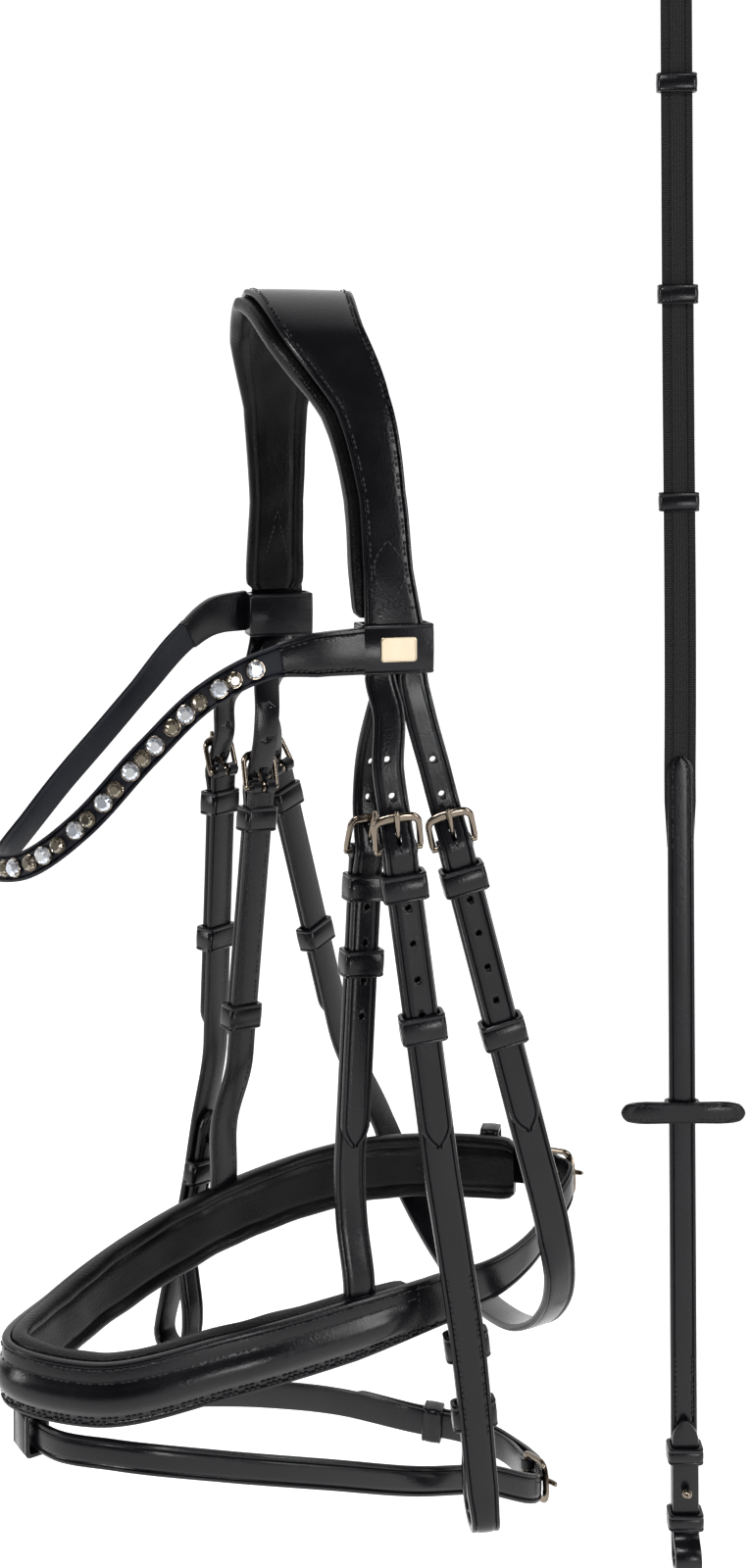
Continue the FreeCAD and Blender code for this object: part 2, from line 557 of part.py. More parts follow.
def rein():
    top = REIN.moved(REIN_TOP)
    web = ribbon([top.at(0, -LUG_START, 0), REIN.at(0, REIN_TAB + GAP, 0)], REIN.across, REIN_WEB, REIN_THICK)
    save("rein_web", with_lug(web, top, REIN_WEB))
    save("rein_buckle", top.put(buckle(REIN_WEB)))

    base = REIN.moved(REIN_BASE)
    fold = []
    for degrees in range(0, 181, 30):
        turn = math.radians(degrees)
        fold.append(base.at(0, -REIN_LOOP_R * math.sin(turn), REIN_LOOP_R - REIN_LOOP_R * math.cos(turn)))
    rise = REIN_THICK + GAP + 0.1
    neck = [(4, 2 * REIN_LOOP_R - 1.2), (8, rise + 2.4)]
    behind = [(12, rise + 0.3), (20, rise), (40, rise), (60, rise), (66, rise)]
    front = [REIN.at(0, y, 0) for y in (REIN_TAB, REIN_TAB - 20, -264, -272, -400, REIN_BASE + 30)]
    route = front + fold + [base.at(0, y, z) for y, z in neck + behind]
    widths = [9, 14.5, 14.5] + [REIN_LEATHER] * (len(route) - 5) + [REIN_LEATHER * 0.9, 5]
    leather = ribbon(route, REIN.across, widths, REIN_THICK, spacing=25.0)
    centre = base.at(0, 0, REIN_LOOP_R)
    bore = rod(REIN_LOOP_R - REIN_THICK / 2 + BORE_CLEAR, centre - base.across * 20, centre + base.across * 20)
    stud_at = REIN.moved(REIN_STUD)
    stud_hole = stud_at.put(rod(1.8, vec(0, 0, REIN_THICK / 2 + GAP / 2), vec(0, 0, 9)))
    save("rein_leather", leather.cut([bore, stud_hole]))
    print("rein loop", centre, base.across)

    around = REIN_THICK / 2 + GAP
    stops = [REIN.moved(y).put(keeper(REIN_WEB, -around, around, 9.6)) for y in REIN_STOPS]
    save("rein_stops", Part.makeCompound(stops))
    loops = [REIN.moved(y).put(keeper(REIN_LEATHER, -around, rise + around + 0.4, 8.0)) for y in REIN_KEEPERS]
    save("rein_keepers", Part.makeCompound(loops))
    stud = hook_stud()
    stud.rotate(vec(0, 0, 0), vec(0, 1, 0), 180)
    save("rein_hook_stud", stud_at.moved(0, REIN_THICK / 2).put(Part.makeCompound([stud])))

    ring = keeper(REIN_LEATHER, -around, around, 10.0)
    corner = STOP_HALF - 9
    outline = [vec(-STOP_HALF, 0, 0), vec(-corner, 6.4, 0), vec(corner, 6.4, 0),
               vec(STOP_HALF, 0, 0), vec(corner, -6.4, 0), vec(-corner, -6.4, 0)]
    wing = Part.Face(Part.makePolygon(outline + outline[:1])).extrude(vec(0, 0, 2.4))
    wing.translate(vec(0, 0, around + 0.2))
    save("martingale_stop", REIN.moved(MARTINGALE_STOP).put(ring.fuse(wing).removeSplitter()))


headpiece()
browband()
cheeks()
hangers()
noseband()
flash()
throatlatch()
rein()
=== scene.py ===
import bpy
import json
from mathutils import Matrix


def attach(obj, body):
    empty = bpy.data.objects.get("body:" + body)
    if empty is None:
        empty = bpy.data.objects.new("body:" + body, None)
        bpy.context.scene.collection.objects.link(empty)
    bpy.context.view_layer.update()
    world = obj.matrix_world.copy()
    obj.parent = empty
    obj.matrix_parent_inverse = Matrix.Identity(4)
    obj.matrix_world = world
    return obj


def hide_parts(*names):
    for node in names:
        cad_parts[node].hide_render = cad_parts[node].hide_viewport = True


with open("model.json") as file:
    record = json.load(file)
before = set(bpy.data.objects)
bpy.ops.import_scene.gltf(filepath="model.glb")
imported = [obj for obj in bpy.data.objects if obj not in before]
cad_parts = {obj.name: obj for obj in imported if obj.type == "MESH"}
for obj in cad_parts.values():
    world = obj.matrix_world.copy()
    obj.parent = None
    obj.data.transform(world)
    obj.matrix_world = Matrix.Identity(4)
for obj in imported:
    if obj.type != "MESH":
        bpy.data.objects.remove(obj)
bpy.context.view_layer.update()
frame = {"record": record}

import copy
import json
import math
import random

import bmesh
import bpy
from mathutils import Vector

random.seed(7)
MM = 0.001
UP = Vector((0, 0, 1))
body_of = {node: body for body, nodes in frame["record"]["behaviour"]["bodies"].items() for node in nodes}

# ---------------------------------------------------------------- driving sizes, in millimetres
# They are the CAD's, apart from the billets' holes (HOLE_R, 2.0 in the CAD) and the prong's slot.
# Those are drawn smaller: the CAD's holes looked too large beside the photograph, and leather
# closes round a prong.
GAP = 0.4
STRAP, HANGER, BILLET, FLASH, REAR = 16.0, 15.0, 14.2, 13.2, 17.0
THICK, BILLET_THICK, PLY, CROWN_THICK = 3.6, 3.0, 2.6, 3.0
PADDING_THICK, PADDING_GAP = 7.4, 1.0
NOSE_THICK, NOSE_HEIGHT, NOSE_PAD_THICK, NOSE_PAD_HEIGHT = 4.0, 27.0, 8.0, 32.0
HOLE_R, HOLE_PITCH, CROSSING = 1.479, 16.3, 8.0
BAR_R, LUG_R, LUG_START = 1.5, 3.6, 2.4
BUCKLE_LENGTH, BUCKLE_LIMB, BUCKLE_CLEAR, BUCKLE_PLATE, FREE_RISE = 15.0, 2.8, 0.5, 2.6, 4.8
KEEPER_WALL, KEEPER_HEIGHT, KEEPER_BELOW = 1.7, 12.0, 16.0
LOOP_R = 9.0
KEEPER_ROOM, KEEPER_CORNER = 0.5, 2.4
CUT_FROM_TO = (-6, 14)      # how far the hole cutters reach behind and in front of a strap
SLOT_HALF, SLOT_START, SLOT_STOP, SLOT_CORNER = 1.3, 3.0, 9.5, 1.2
HEEL_RISE = LUG_R + GAP + BILLET_THICK / 2 + 0.1
TAIL_RISE = THICK / 2 + GAP + BILLET_THICK / 2 + 0.1


# ---------------------------------------------------------------- routes
def vec(x, y, z):
    return Vector((x, y, z))


def smooth(points, widths, acrosses, spacing=2.5):
    """Stations (place, tangent, width, across) along a smooth curve through the points."""
    count = len(points)
    chord = [(points[i + 1] - points[i]).length for i in range(count - 1)]
    slope = [(points[i + 1] - points[i]) / chord[i] for i in range(count - 1)]
    tangent = [slope[0]]
    for i in range(1, count - 1):
        tangent.append((slope[i - 1] * chord[i] + slope[i] * chord[i - 1]) / (chord[i] + chord[i - 1]))
    tangent.append(slope[-1])
    made = []
    for i in range(count - 1):
        steps = max(1, round(chord[i] / spacing))
        for k in range(steps + (i == count - 2)):
            t = k / steps
            place = (points[i] * (2 * t ** 3 - 3 * t ** 2 + 1)
                     + tangent[i] * (chord[i] * (t ** 3 - 2 * t ** 2 + t))
                     + points[i + 1] * (3 * t ** 2 - 2 * t ** 3)
                     + tangent[i + 1] * (chord[i] * (t ** 3 - t ** 2)))
            made.append((place, widths[i] * (1 - t) + widths[i + 1] * t,
                         acrosses[i] * (1 - t) + acrosses[i + 1] * t))
    stations = []
    for i, (place, width, across) in enumerate(made):
        ahead = made[min(i + 1, len(made) - 1)][0]
        behind = made[max(i - 1, 0)][0]
        stations.append((place, (ahead - behind).normalized(), width, across))
    return stations


def spread(value, count):
    return value if isinstance(value, list) else [value] * count


class Frame:
    """A local frame on a strap: x across it, y back up it, z outward; down runs to its tip."""

    def __init__(self, place, down, across):
        self.place = place
        self.down = down.normalized()
        self.across = (across - self.down * across.dot(self.down)).normalized()
        self.out = self.down.cross(self.across)

    def at(self, x, y, z):
        return self.place + self.across * x - self.down * y + self.out * z

    def moved(self, y, z=0.0):
        return Frame(self.at(0, y, z), self.down, self.across)


class Line:
    """A route with its frames, widths and the distance walked to each."""

    def __init__(self, points, across, width=0.0, spacing=2.5):
        count = len(points)
        self.frames, self.widths, self.walked = [], [], []
        walked, last = 0.0, None
        stations = smooth(points, spread(width, count), spread(across, count), spacing)
        for place, tangent, wide, towards in stations:
            if last is not None:
                walked += (place - last).length
            last = place
            self.frames.append(Frame(place, tangent, towards))
            self.widths.append(wide)
            self.walked.append(walked)
        self.length = walked

    def near(self, distance):
        return min(range(len(self.walked)), key=lambda i: abs(self.walked[i] - distance))

    def station(self, distance):
        return self.frames[self.near(distance)]

    def point_tip(self, length, sharpness=0.75):
        """Narrows the last part of the strap to a rounded point."""
        for i, walked in enumerate(self.walked):
            left = (self.length - walked) / length
            if left < 1:
                self.widths[i] *= max(0.12, 1 - (1 - left) ** 2) ** sharpness

    def part(self, start, stop, wider=0.0):
        """The stretch between two distances, perhaps made wider."""
        first, last = self.near(start), self.near(stop)
        piece = copy.copy(self)
        piece.frames = self.frames[first:last + 1]
        piece.walked = self.walked[first:last + 1]
        piece.widths = [width + wider for width in self.widths[first:last + 1]]
        return piece


# ---------------------------------------------------------------- mesh building
class Build:
    """Collects vertices in millimetres, faces and strap coordinates, and makes one mesh object."""

    def __init__(self):
        self.verts, self.faces, self.uvs = [], [], []

    def add(self, verts, faces, uvs=None):
        base = len(self.verts)
        self.verts += verts
        self.uvs += uvs or [(0.0, 0.0)] * len(verts)
        self.faces += [tuple(base + i for i in face) for face in faces]

    def rings(self, rings, closed=False, uvs=None):
        """Joins rings of equal length into a tube, capped at its ends unless closed on itself."""
        size, count = len(rings[0]), len(rings)
        faces = []
        for i in range(count if closed else count - 1):
            a, b = i * size, ((i + 1) % count) * size
            faces += [(a + k, a + (k + 1) % size, b + (k + 1) % size, b + k) for k in range(size)]
        if not closed:
            faces.append(tuple(reversed(range(size))))
            faces.append(tuple(range((count - 1) * size, count * size)))
        self.add([p for ring in rings for p in ring], faces, uvs)

    def object(self, name, material, angle=40):
        mesh = bpy.data.meshes.new(name)
        mesh.from_pydata([v * MM for v in self.verts], [], self.faces)
        mesh.validate()
        layer = mesh.uv_layers.new(name="strap")
        for loop in mesh.loops:
            u, v = self.uvs[loop.vertex_index]
            layer.data[loop.index].uv = (u * MM, v * MM)
        mesh.shade_smooth()
        mesh.set_sharp_from_angle(angle=math.radians(angle))
        mesh.materials.append(material)
        made = bpy.data.objects.new(name, mesh)
        bpy.context.scene.collection.objects.link(made)
        fix_normals(mesh)
        return made


def fix_normals(mesh):
    shape = bmesh.new()
    shape.from_mesh(mesh)
    bmesh.ops.recalc_face_normals(shape, faces=shape.faces)
    shape.to_mesh(mesh)
    shape.free()


def mirrored(points):
    return [(-x, z) for x, z in reversed(points)]


def section(width, thick, crease=1.9, swell=None, dome=0.15):
    """A strap's rounded section, (across, out) points: creased along its edges, perhaps padded."""
    half, t = width / 2, thick / 2
    r = min(1.0, t * 0.75, half * 0.5)
    crease = min(crease, half * 0.6)
    edge = [(-half, t - r), (-half + 0.3 * r, t - 0.3 * r), (-half + r, t), (-half + crease - 0.35, t)]
    edge += [(-half + crease, t - 0.45), (-half + crease + 0.4, t), (-half + crease + 0.75, t - 0.3)]
    middle = []
    inner = half - crease - 1.1
    for k in range(1, 12):
        x = -inner + 2 * inner * k / 12
        z = t + dome * (1 - (x / inner) ** 2)
        if swell:
            low, high, rise = swell
            s = (x - low) / (high - low)
            if 0 < s < 1:
                z += rise * math.sin(math.pi * s) ** 0.6
        middle.append((x, z))
    corner = [(half, -t + r), (half - 0.3 * r, -t + 0.3 * r), (half - r, -t)]
    return edge + middle + mirrored(edge) + corner + [(0, -t)] + mirrored(corner)


def pad_section(width, thick):
    """A padded lining's section: a soft roll along each edge and a fuller middle."""
    half = width / 2
    points = []
    for k in range(48):
        turn = 2 * math.pi * k / 48
        x, z = half * math.cos(turn), math.sin(turn)
        if z >= 0:
            z = 0.5 * thick * min(1.0, 3 * z ** 0.9)
        else:
            edge = abs(x) / half
            roll = math.exp(-((edge - 0.80) / 0.13) ** 2)
            groove = math.exp(-((edge - 0.60) / 0.07) ** 2)
            z = -0.5 * thick * min(1.0, 2.6 * abs(z) ** 0.8) * (0.74 + 0.26 * roll - 0.30 * groove)
        points.append((x, z))
    return points


def sweep(build, line, profile, shift=0.0, spoil=None):
    """Sweeps a section along a line. profile(width) gives the section's points."""
    rings, uvs = [], []
    for at, width, walked in zip(line.frames, line.widths, line.walked):
        ring = []
        for x, z in profile(width):
            extra = spoil(walked, x, z) if spoil else 0.0
            ring.append(at.at(x, 0, z + shift + extra))
            uvs.append((walked, x))
        rings.append(ring)
    build.rings(rings, uvs=uvs)


STITCH = [(-1.0, 0.15), (-0.55, 0.8), (0.0, 1.0), (0.55, 0.8), (1.0, 0.15)]


def stitch(build, middle, along, out, long, thick):
    """One thread stitch lying on the leather."""
    side = along.cross(out)
    rings = []
    for s, size in STITCH:
        centre = middle + along * (s * long / 2) + out * (0.12 * (1 - s * s))
        ring = []
        for k in range(6):
            turn = math.pi * k / 3
            r = thick * size
            ring.append(centre + side * (math.cos(turn) * r) + out * (math.sin(turn) * r * 0.8))
        rings.append(ring)
    build.rings(rings)


def stitch_row(build, line, across, rise, start, end, pitch=3.3, long=2.3, thick=0.5):
    """Stitches along a line; across(width) is how far from the middle the row lies."""
    distance = start
    while distance < end:
        i = line.near(distance)
        at = line.frames[i]
        middle = at.at(across(line.widths[i]), 0, rise)
        stitch(build, middle, at.down, at.out, long, thick)
        distance += pitch


def both_edges(build, line, inset, rise, start, end, **more):
    stitch_row(build, line, lambda w: w / 2 - inset, rise, start, end, **more)
    stitch_row(build, line, lambda w: inset - w / 2, rise, start, end, **more)


def tube(build, points, radii, sides=12, closed=False, flat=1.0):
    """A round bar through the points; flat squeezes it along its second direction."""
    rings = []
    count = len(points)
    axis = None
    for i, p in enumerate(points):
        ahead = points[(i + 1) % count] if closed else points[min(i + 1, count - 1)]
        behind = points[i - 1] if closed or i else points[0]
        tangent = (ahead - behind).normalized()
        if axis is None:
            axis = tangent.orthogonal().normalized()
        axis = (axis - tangent * axis.dot(tangent)).normalized()
        other = tangent.cross(axis)
        r = radii[i] if isinstance(radii, list) else radii
        rings.append([p + axis * (r * math.cos(2 * math.pi * k / sides))
                      + other * (r * flat * math.sin(2 * math.pi * k / sides)) for k in range(sides)])
    build.rings(rings, closed=closed)


def circle(at, radius, z, sides, ahead=0.0, turn=0.0):
    """Points round the frame's outward axis, its middle moved ahead along the strap."""
    turns = [turn + 2 * math.pi * k / sides for k in range(sides)]
    return [at.at(radius * math.cos(a), ahead + radius * math.sin(a), z) for a in turns]


def half_loop(base, radius, side):
    """A half turn of strap at its end; side is the way it folds along the normal."""
    turns = [math.radians(degrees) for degrees in range(0, 181, 15)]
    return [base.at(0, -radius * math.sin(a), side * (radius - radius * math.cos(a))) for a in turns]


def rounded_box(x0, x1, z0, z1, r, steps=4):
    """Corner-rounded rectangle, as (x, z) points."""
    points = []
    middles = ((x1 - r, z1 - r), (x0 + r, z1 - r), (x0 + r, z0 + r), (x1 - r, z0 + r))
    for (cx, cz), start in zip(middles, (0, 90, 180, 270)):
        for k in range(steps + 1):
            turn = math.radians(start + 90 * k / steps)
            points.append((cx + r * math.cos(turn), cz + r * math.sin(turn)))
    return points


# ---------------------------------------------------------------- materials
def new_material(name):
    material = bpy.data.materials.new(name)
    material.use_nodes = True
    tree = material.node_tree
    return material, tree.nodes, tree.links, tree.nodes["Principled BSDF"]


def noise(nodes, links, where, scale, detail=6.0, rough=0.6):
    made = nodes.new("ShaderNodeTexNoise")
    made.inputs["Scale"].default_value = scale
    made.inputs["Detail"].default_value = detail
    made.inputs["Roughness"].default_value = rough
    links.new(where, made.inputs["Vector"])
    return made


def remap(nodes, links, value, low, high, start=0.3, stop=0.7):
    """Takes start..stop to low..high, clamped; the defaults are about a noise texture's own range."""
    made = nodes.new("ShaderNodeMapRange")
    for socket, number in (("From Min", start), ("From Max", stop), ("To Min", low), ("To Max", high)):
        made.inputs[socket].default_value = number
    links.new(value, made.inputs["Value"])
    return made.outputs["Result"]


def dot(nodes, links, value, direction):
    made = nodes.new("ShaderNodeVectorMath")
    made.operation = "DOT_PRODUCT"
    made.inputs[1].default_value = direction
    links.new(value, made.inputs[0])
    return made.outputs["Value"]


def blend(nodes, links, factor, first, second, shader):
    """Mixes two colours into the shader's base colour."""
    made = nodes.new("ShaderNodeMix")
    made.data_type = "RGBA"
    made.inputs["A"].default_value = first
    made.inputs["B"].default_value = second
    links.new(factor, made.inputs["Factor"])
    links.new(made.outputs["Result"], shader.inputs["Base Color"])


def emboss(nodes, links, height, strength, distance, shader):
    made = nodes.new("ShaderNodeBump")
    made.inputs["Strength"].default_value = strength
    made.inputs["Distance"].default_value = distance
    links.new(height, made.inputs["Height"])
    links.new(made.outputs["Normal"], shader.inputs["Normal"])


def maths(nodes, links, operation, a, b=None):
    """One maths node; a and b are sockets or plain numbers."""
    made = nodes.new("ShaderNodeMath")
    made.operation = operation
    for socket, value in zip(made.inputs, (a, b)):
        if isinstance(value, (int, float)):
            socket.default_value = value
        elif value is not None:
            links.new(value, socket)
    return made.outputs["Value"]


def leather(name, colour, worn, roughness, grain, coat, specular=0.25):
    """Dyed bridle leather: fine pebbled grain, uneven sheen, worn tone in random patches."""
    material, nodes, links, shader = new_material(name)
    where = nodes.new("ShaderNodeTexCoord").outputs["Object"]
    patches = noise(nodes, links, where, 38.0)
    fine = noise(nodes, links, where, 900.0, 3.0)
    pebble = nodes.new("ShaderNodeTexVoronoi")
    pebble.inputs["Scale"].default_value = 950.0
    links.new(where, pebble.inputs["Vector"])
    blend(nodes, links, remap(nodes, links, patches.outputs["Fac"], 0.0, 1.0), colour, worn, shader)
    links.new(remap(nodes, links, patches.outputs["Fac"], roughness - 0.05, roughness + 0.07),
              shader.inputs["Roughness"])
    height = maths(nodes, links, "ADD", pebble.outputs["Distance"], fine.outputs["Fac"])
    emboss(nodes, links, height, grain, 0.0003, shader)
    shader.inputs["IOR"].default_value = 1.48
    shader.inputs["Specular IOR Level"].default_value = specular
    shader.inputs["Coat Weight"].default_value = coat
    shader.inputs["Coat Roughness"].default_value = 0.2
    return material


def metal(name, colour, roughness):
    material, nodes, links, shader = new_material(name)
    where = nodes.new("ShaderNodeTexCoord").outputs["Object"]
    smears = noise(nodes, links, where, 220.0, 4.0)
    shader.inputs["Base Color"].default_value = colour
    shader.inputs["Metallic"].default_value = 1.0
    sheen = remap(nodes, links, smears.outputs["Fac"], roughness, roughness + 0.1)
    links.new(sheen, shader.inputs["Roughness"])
    emboss(nodes, links, smears.outputs["Fac"], 0.06, 0.0002, shader)
    return material


# Direction for the crystals' painted reflection: each facet's colour comes from its normal taken along these
# numbers.
FACET_SPREAD = (7.3, 11.9, 9.1)      # uneven and larger than 1, so facets near each other differ


def crystal_material(name, dark, bright):
    """Cut glass with foil behind it: each facet's base colour is a painted reflection, its tone set from the
    way it faces.
    """
    material, nodes, links, shader = new_material(name)
    normal = nodes.new("ShaderNodeNewGeometry").outputs["True Normal"]
    # Painted reflection: the facet's base colour runs from dark to bright with the sine of its true normal.
    painted_glint_wave = maths(nodes, links, "SINE", dot(nodes, links, normal, FACET_SPREAD))
    painted_light_tone = maths(nodes, links, "ADD", maths(nodes, links, "MULTIPLY", painted_glint_wave, 0.45), 0.55)
    blend(nodes, links, painted_light_tone, dark, bright, shader)
    where = nodes.new("ShaderNodeTexCoord").outputs["Object"]
    cloud = noise(nodes, links, where, 400.0, 2.0)
    shader.inputs["Metallic"].default_value = 0.7
    links.new(remap(nodes, links, cloud.outputs["Fac"], 0.04, 0.12), shader.inputs["Roughness"])
    shader.inputs["Coat Weight"].default_value = 0.6
    shader.inputs["Coat Roughness"].default_value = 0.02
    return material


def web_material():
    """Woven web: cross ribs along both borders and wavy cords down the middle, with painted shade in the
    weave's grooves.
    """
    material, nodes, links, shader = new_material("web")
    uv = nodes.new("ShaderNodeUVMap")
    uv.uv_map = "strap"
    split = nodes.new("ShaderNodeSeparateXYZ")
    links.new(uv.outputs["UV"], split.inputs["Vector"])

    def sine(value, pitch):
        return maths(nodes, links, "SINE", maths(nodes, links, "MULTIPLY", value, 2 * math.pi / pitch))

    along, across = split.outputs["X"], split.outputs["Y"]
    ribs = sine(along, 0.0012)
    swing = maths(nodes, links, "MULTIPLY", sine(along, 0.0026), 0.0003)
    cords = sine(maths(nodes, links, "ADD", across, swing), 0.0015)
    border = maths(nodes, links, "GREATER_THAN", maths(nodes, links, "ABSOLUTE", across), 0.0047)
    choose = nodes.new("ShaderNodeMix")
    links.new(border, choose.inputs["Factor"])
    links.new(cords, choose.inputs["A"])
    links.new(ribs, choose.inputs["B"])
    weave = choose.outputs["Result"]
    emboss(nodes, links, weave, 0.8, 0.0003, shader)
    # Painted shade and highlight: the base colour follows the weave's height, darker in its grooves and
    # lighter on its ridges.
    painted_light_tone = maths(nodes, links, "ADD", maths(nodes, links, "MULTIPLY", weave, 0.5), 0.5)
    blend(nodes, links, painted_light_tone, (0.004, 0.004, 0.004, 1), (0.020, 0.020, 0.021, 1), shader)
    shader.inputs["Roughness"].default_value = 0.75
    shader.inputs["Specular IOR Level"].default_value = 0.2
    return material


BLACK = leather("strap_leather", (0.0026, 0.0026, 0.0036, 1), (0.0046, 0.0046, 0.0062, 1),
                0.24, 0.22, 0.22, 0.2)
LINING = leather("padding_leather", (0.002, 0.002, 0.0021, 1), (0.0035, 0.0035, 0.0037, 1),
                 0.30, 0.45, 0.04, 0.13)
BAND = leather("band_leather", (0.003, 0.0035, 0.007, 1), (0.006, 0.007, 0.012, 1), 0.50, 0.30, 0.0)
THREAD = leather("thread", (0.009, 0.009, 0.010, 1), (0.018, 0.018, 0.02, 1), 0.42, 0.10, 0.0)
METAL = metal("buckle_metal", (0.20, 0.165, 0.13, 1), 0.14)
GOLD = metal("gold_plate", (0.50, 0.42, 0.31, 1), 0.30)
# The crystals' dark and bright colours are the two ends of their facets' painted reflection.
CLEAR = crystal_material("clear_crystal", (0.25, 0.29, 0.36, 1), (0.97, 0.98, 1.0, 1))
SMOKY = crystal_material("smoky_crystal", (0.03, 0.027, 0.022, 1), (0.36, 0.31, 0.23, 1))
WEB = web_material()


def dress(build, material, *nodes, name=None, stands=True):
    """Makes the mesh, rides it on its nodes' body and lets it stand for those CAD nodes."""
    made = build.object(name or nodes[0] + "_look", material)
    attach(made, body_of[nodes[0]])
    if stands:
        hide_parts(*nodes)
    return made


def single(add, material, node, *sizes, **more):
    """A node made by one function, such as a prong, a buckle or a plain strap."""
    build = Build()
    add(build, *sizes, **more)
    return dress(build, material, node)


def thread(build, node):
    dress(build, THREAD, node, name=node + "_stitching", stands=False)


def seam(node, line, inset, rise, *spans):
    """Stitching along both edges of a strap, from and to each pair of distances."""
    build = Build()
    for start, end in spans:
        both_edges(build, line, inset, rise, start, end)
    thread(build, node)


def keepers(node, places, *sizes):
    build = Build()
    for at in places:
        add_keeper(build, at, *sizes)
    dress(build, BLACK, node)


# ---------------------------------------------------------------- hardware
def add_buckle(build, at, width):
    """A dished frame, broad over its free bar and slim down its limbs, with its heel bar below."""
    half = width / 2 + BUCKLE_CLEAR + BUCKLE_LIMB / 2
    outer = BUCKLE_LENGTH + BUCKLE_LIMB
    slope = FREE_RISE / BUCKLE_LENGTH
    broad, slim, thick, corner, dome = 2.3, 1.45, 1.25, 3.8, 0.5
    top = outer - broad
    path = [(-half, y, slim) for y in (-0.6, 2, 5, 8)]
    for k in range(9):
        turn = math.radians(180 - 90 * k / 8)
        path.append((-half + corner + corner * math.cos(turn), top - dome - corner + corner * math.sin(turn),
                     slim + (broad - slim) * k / 8))
    path.append((-half * 0.4, top - dome * 0.2, broad))
    path += [(-x, y, r) for x, y, r in reversed(path)]
    normal = at.at(0, -slope, 1) - at.place
    normal.normalize()
    rings = []
    for i, (x, y, r) in enumerate(path):
        ahead, behind = path[min(i + 1, len(path) - 1)], path[max(i - 1, 0)]
        along = at.at(ahead[0], ahead[1], ahead[1] * slope) - at.at(behind[0], behind[1], behind[1] * slope)
        side = normal.cross(along.normalized())
        middle = at.at(x, y, y * slope)
        ends = 0.6 if i in (0, len(path) - 1) else 1.0
        rings.append([middle + side * (r * ends * math.cos(2 * math.pi * k / 14))
                      + normal * (thick * ends * math.sin(2 * math.pi * k / 14)) for k in range(14)])
    build.rings(rings)
    ends = half + BUCKLE_LIMB / 2 - 0.6
    bar = [at.at(x, 0, 0) for x in (-ends, -ends + 0.5, ends - 0.5, ends)]
    tube(build, bar, [BAR_R * 0.7, BAR_R, BAR_R, BAR_R * 0.7], sides=14)


def add_prong(build, at):
    """The tongue: an open ring round the heel bar and a shank that dips over the free bar."""
    reach = BUCKLE_LENGTH + BUCKLE_LIMB / 2
    rise = reach * FREE_RISE / BUCKLE_LENGTH + BUCKLE_PLATE / 2 + 0.9 + 0.85
    slope = rise / reach
    ring_radius, wire = 2.4, 0.62
    turns = [math.radians(degrees) for degrees in range(0, 360, 24)]
    ring = [at.at(0, ring_radius * math.sin(a), ring_radius * math.cos(a)) for a in turns]
    tube(build, ring, wire, sides=8, closed=True, flat=1.6)
    lifts = [(2.2, 0.0), (4, 0.15), (8, 0.35), (12, 0.35)]
    lifts += [(reach, 0.1), (reach + 2, -0.35), (reach + 3, -0.9)]
    shank = [at.at(0, y, y * slope + lift) for y, lift in lifts]
    tube(build, shank, [1.2, 1.2, 1.2, 1.2, 1.25, 1.15, 0.7], sides=12)


def add_keeper(build, at, width, low, high, height=KEEPER_HEIGHT, corner=KEEPER_CORNER):
    """A folded leather loop, its edges rounded and creased."""
    half = width / 2 + KEEPER_ROOM + KEEPER_WALL
    path = rounded_box(-half, half, low - KEEPER_WALL, high + KEEPER_WALL, corner)
    centre_z = (low + high) / 2
    span = (high - low) / 2 + KEEPER_WALL
    rings = []
    edge, end = 0.45, height / 2
    crease = [(1.4, 0), (1.7, 0.18), (2.0, 0)]
    front = [(edge - end, 0)] + [(y - end, depth) for y, depth in crease]
    rim = [(end, edge), (end, KEEPER_WALL)]
    wall = front + [(0, -0.1)] + mirrored(front) + rim + mirrored(rim)
    for x, z in path:
        ring = []
        for y, depth in wall:
            scale_x = (half - depth) / half
            scale_z = (span - depth) / span
            ring.append(at.at(x * scale_x, y, centre_z + (z - centre_z) * scale_z))
        rings.append(ring)
    build.rings(rings, closed=True)


def add_stud(build, at, side):
    """A hook stud: thin foot between the plies, stem and domed head; side is -1 or 1 along the normal."""
    foot, stem = [(0.1, 3.1), (0.4, 3.2)], [(0.45, 1.4), (4.6, 1.3)]
    head = [(5.2, 1.9), (6.2, 2.55), (7.6, 2.5), (9.0, 1.7), (9.9, 0.3)]
    rings = []
    for z, r in foot + stem + head:
        lean = 0.8 * min(1.0, max(0.0, (z - 4.6) / 2))
        rings.append(circle(at, r, z * side, 16, lean))
    build.rings(rings)


def strap_section(thick, **more):
    return lambda width: section(width, thick, **more)


def add_lug(build, at, width):
    """The strap's end folded round the heel bar, in two halves beside the prong."""
    half = width / 2
    gap = 1.7
    for x0, x1 in ((-half, -gap), (gap, half)):
        rings = []
        for x, scale in ((x0, 0.86), (x0 + 0.5, 1.0), (x1 - 0.5, 1.0), (x1, 0.86)):
            rings.append([at.at(x, LUG_R * scale * math.cos(2 * math.pi * k / 20),
                                LUG_R * scale * math.sin(2 * math.pi * k / 20)) for k in range(20)])
        build.rings(rings)


def leather_strap(node, line, thick, *buckles):
    """A strap, folded round each buckle it carries; a buckle is its frame and its strap's width."""
    build = Build()
    sweep(build, line, strap_section(thick))
    for at, width in buckles:
        add_lug(build, at, width)
    return dress(build, BLACK, node)


def smooth_outline(corners, cut=0.3, rounds=2):
    """Cuts a closed outline's corners off twice, which rounds them."""
    for _ in range(rounds):
        made = []
        for (x0, y0), (x1, y1) in zip(corners, corners[1:] + corners[:1]):
            made.append((x0 + (x1 - x0) * cut, y0 + (y1 - y0) * cut))
            made.append((x1 - (x1 - x0) * cut, y1 - (y1 - y0) * cut))
        corners = made
    return corners


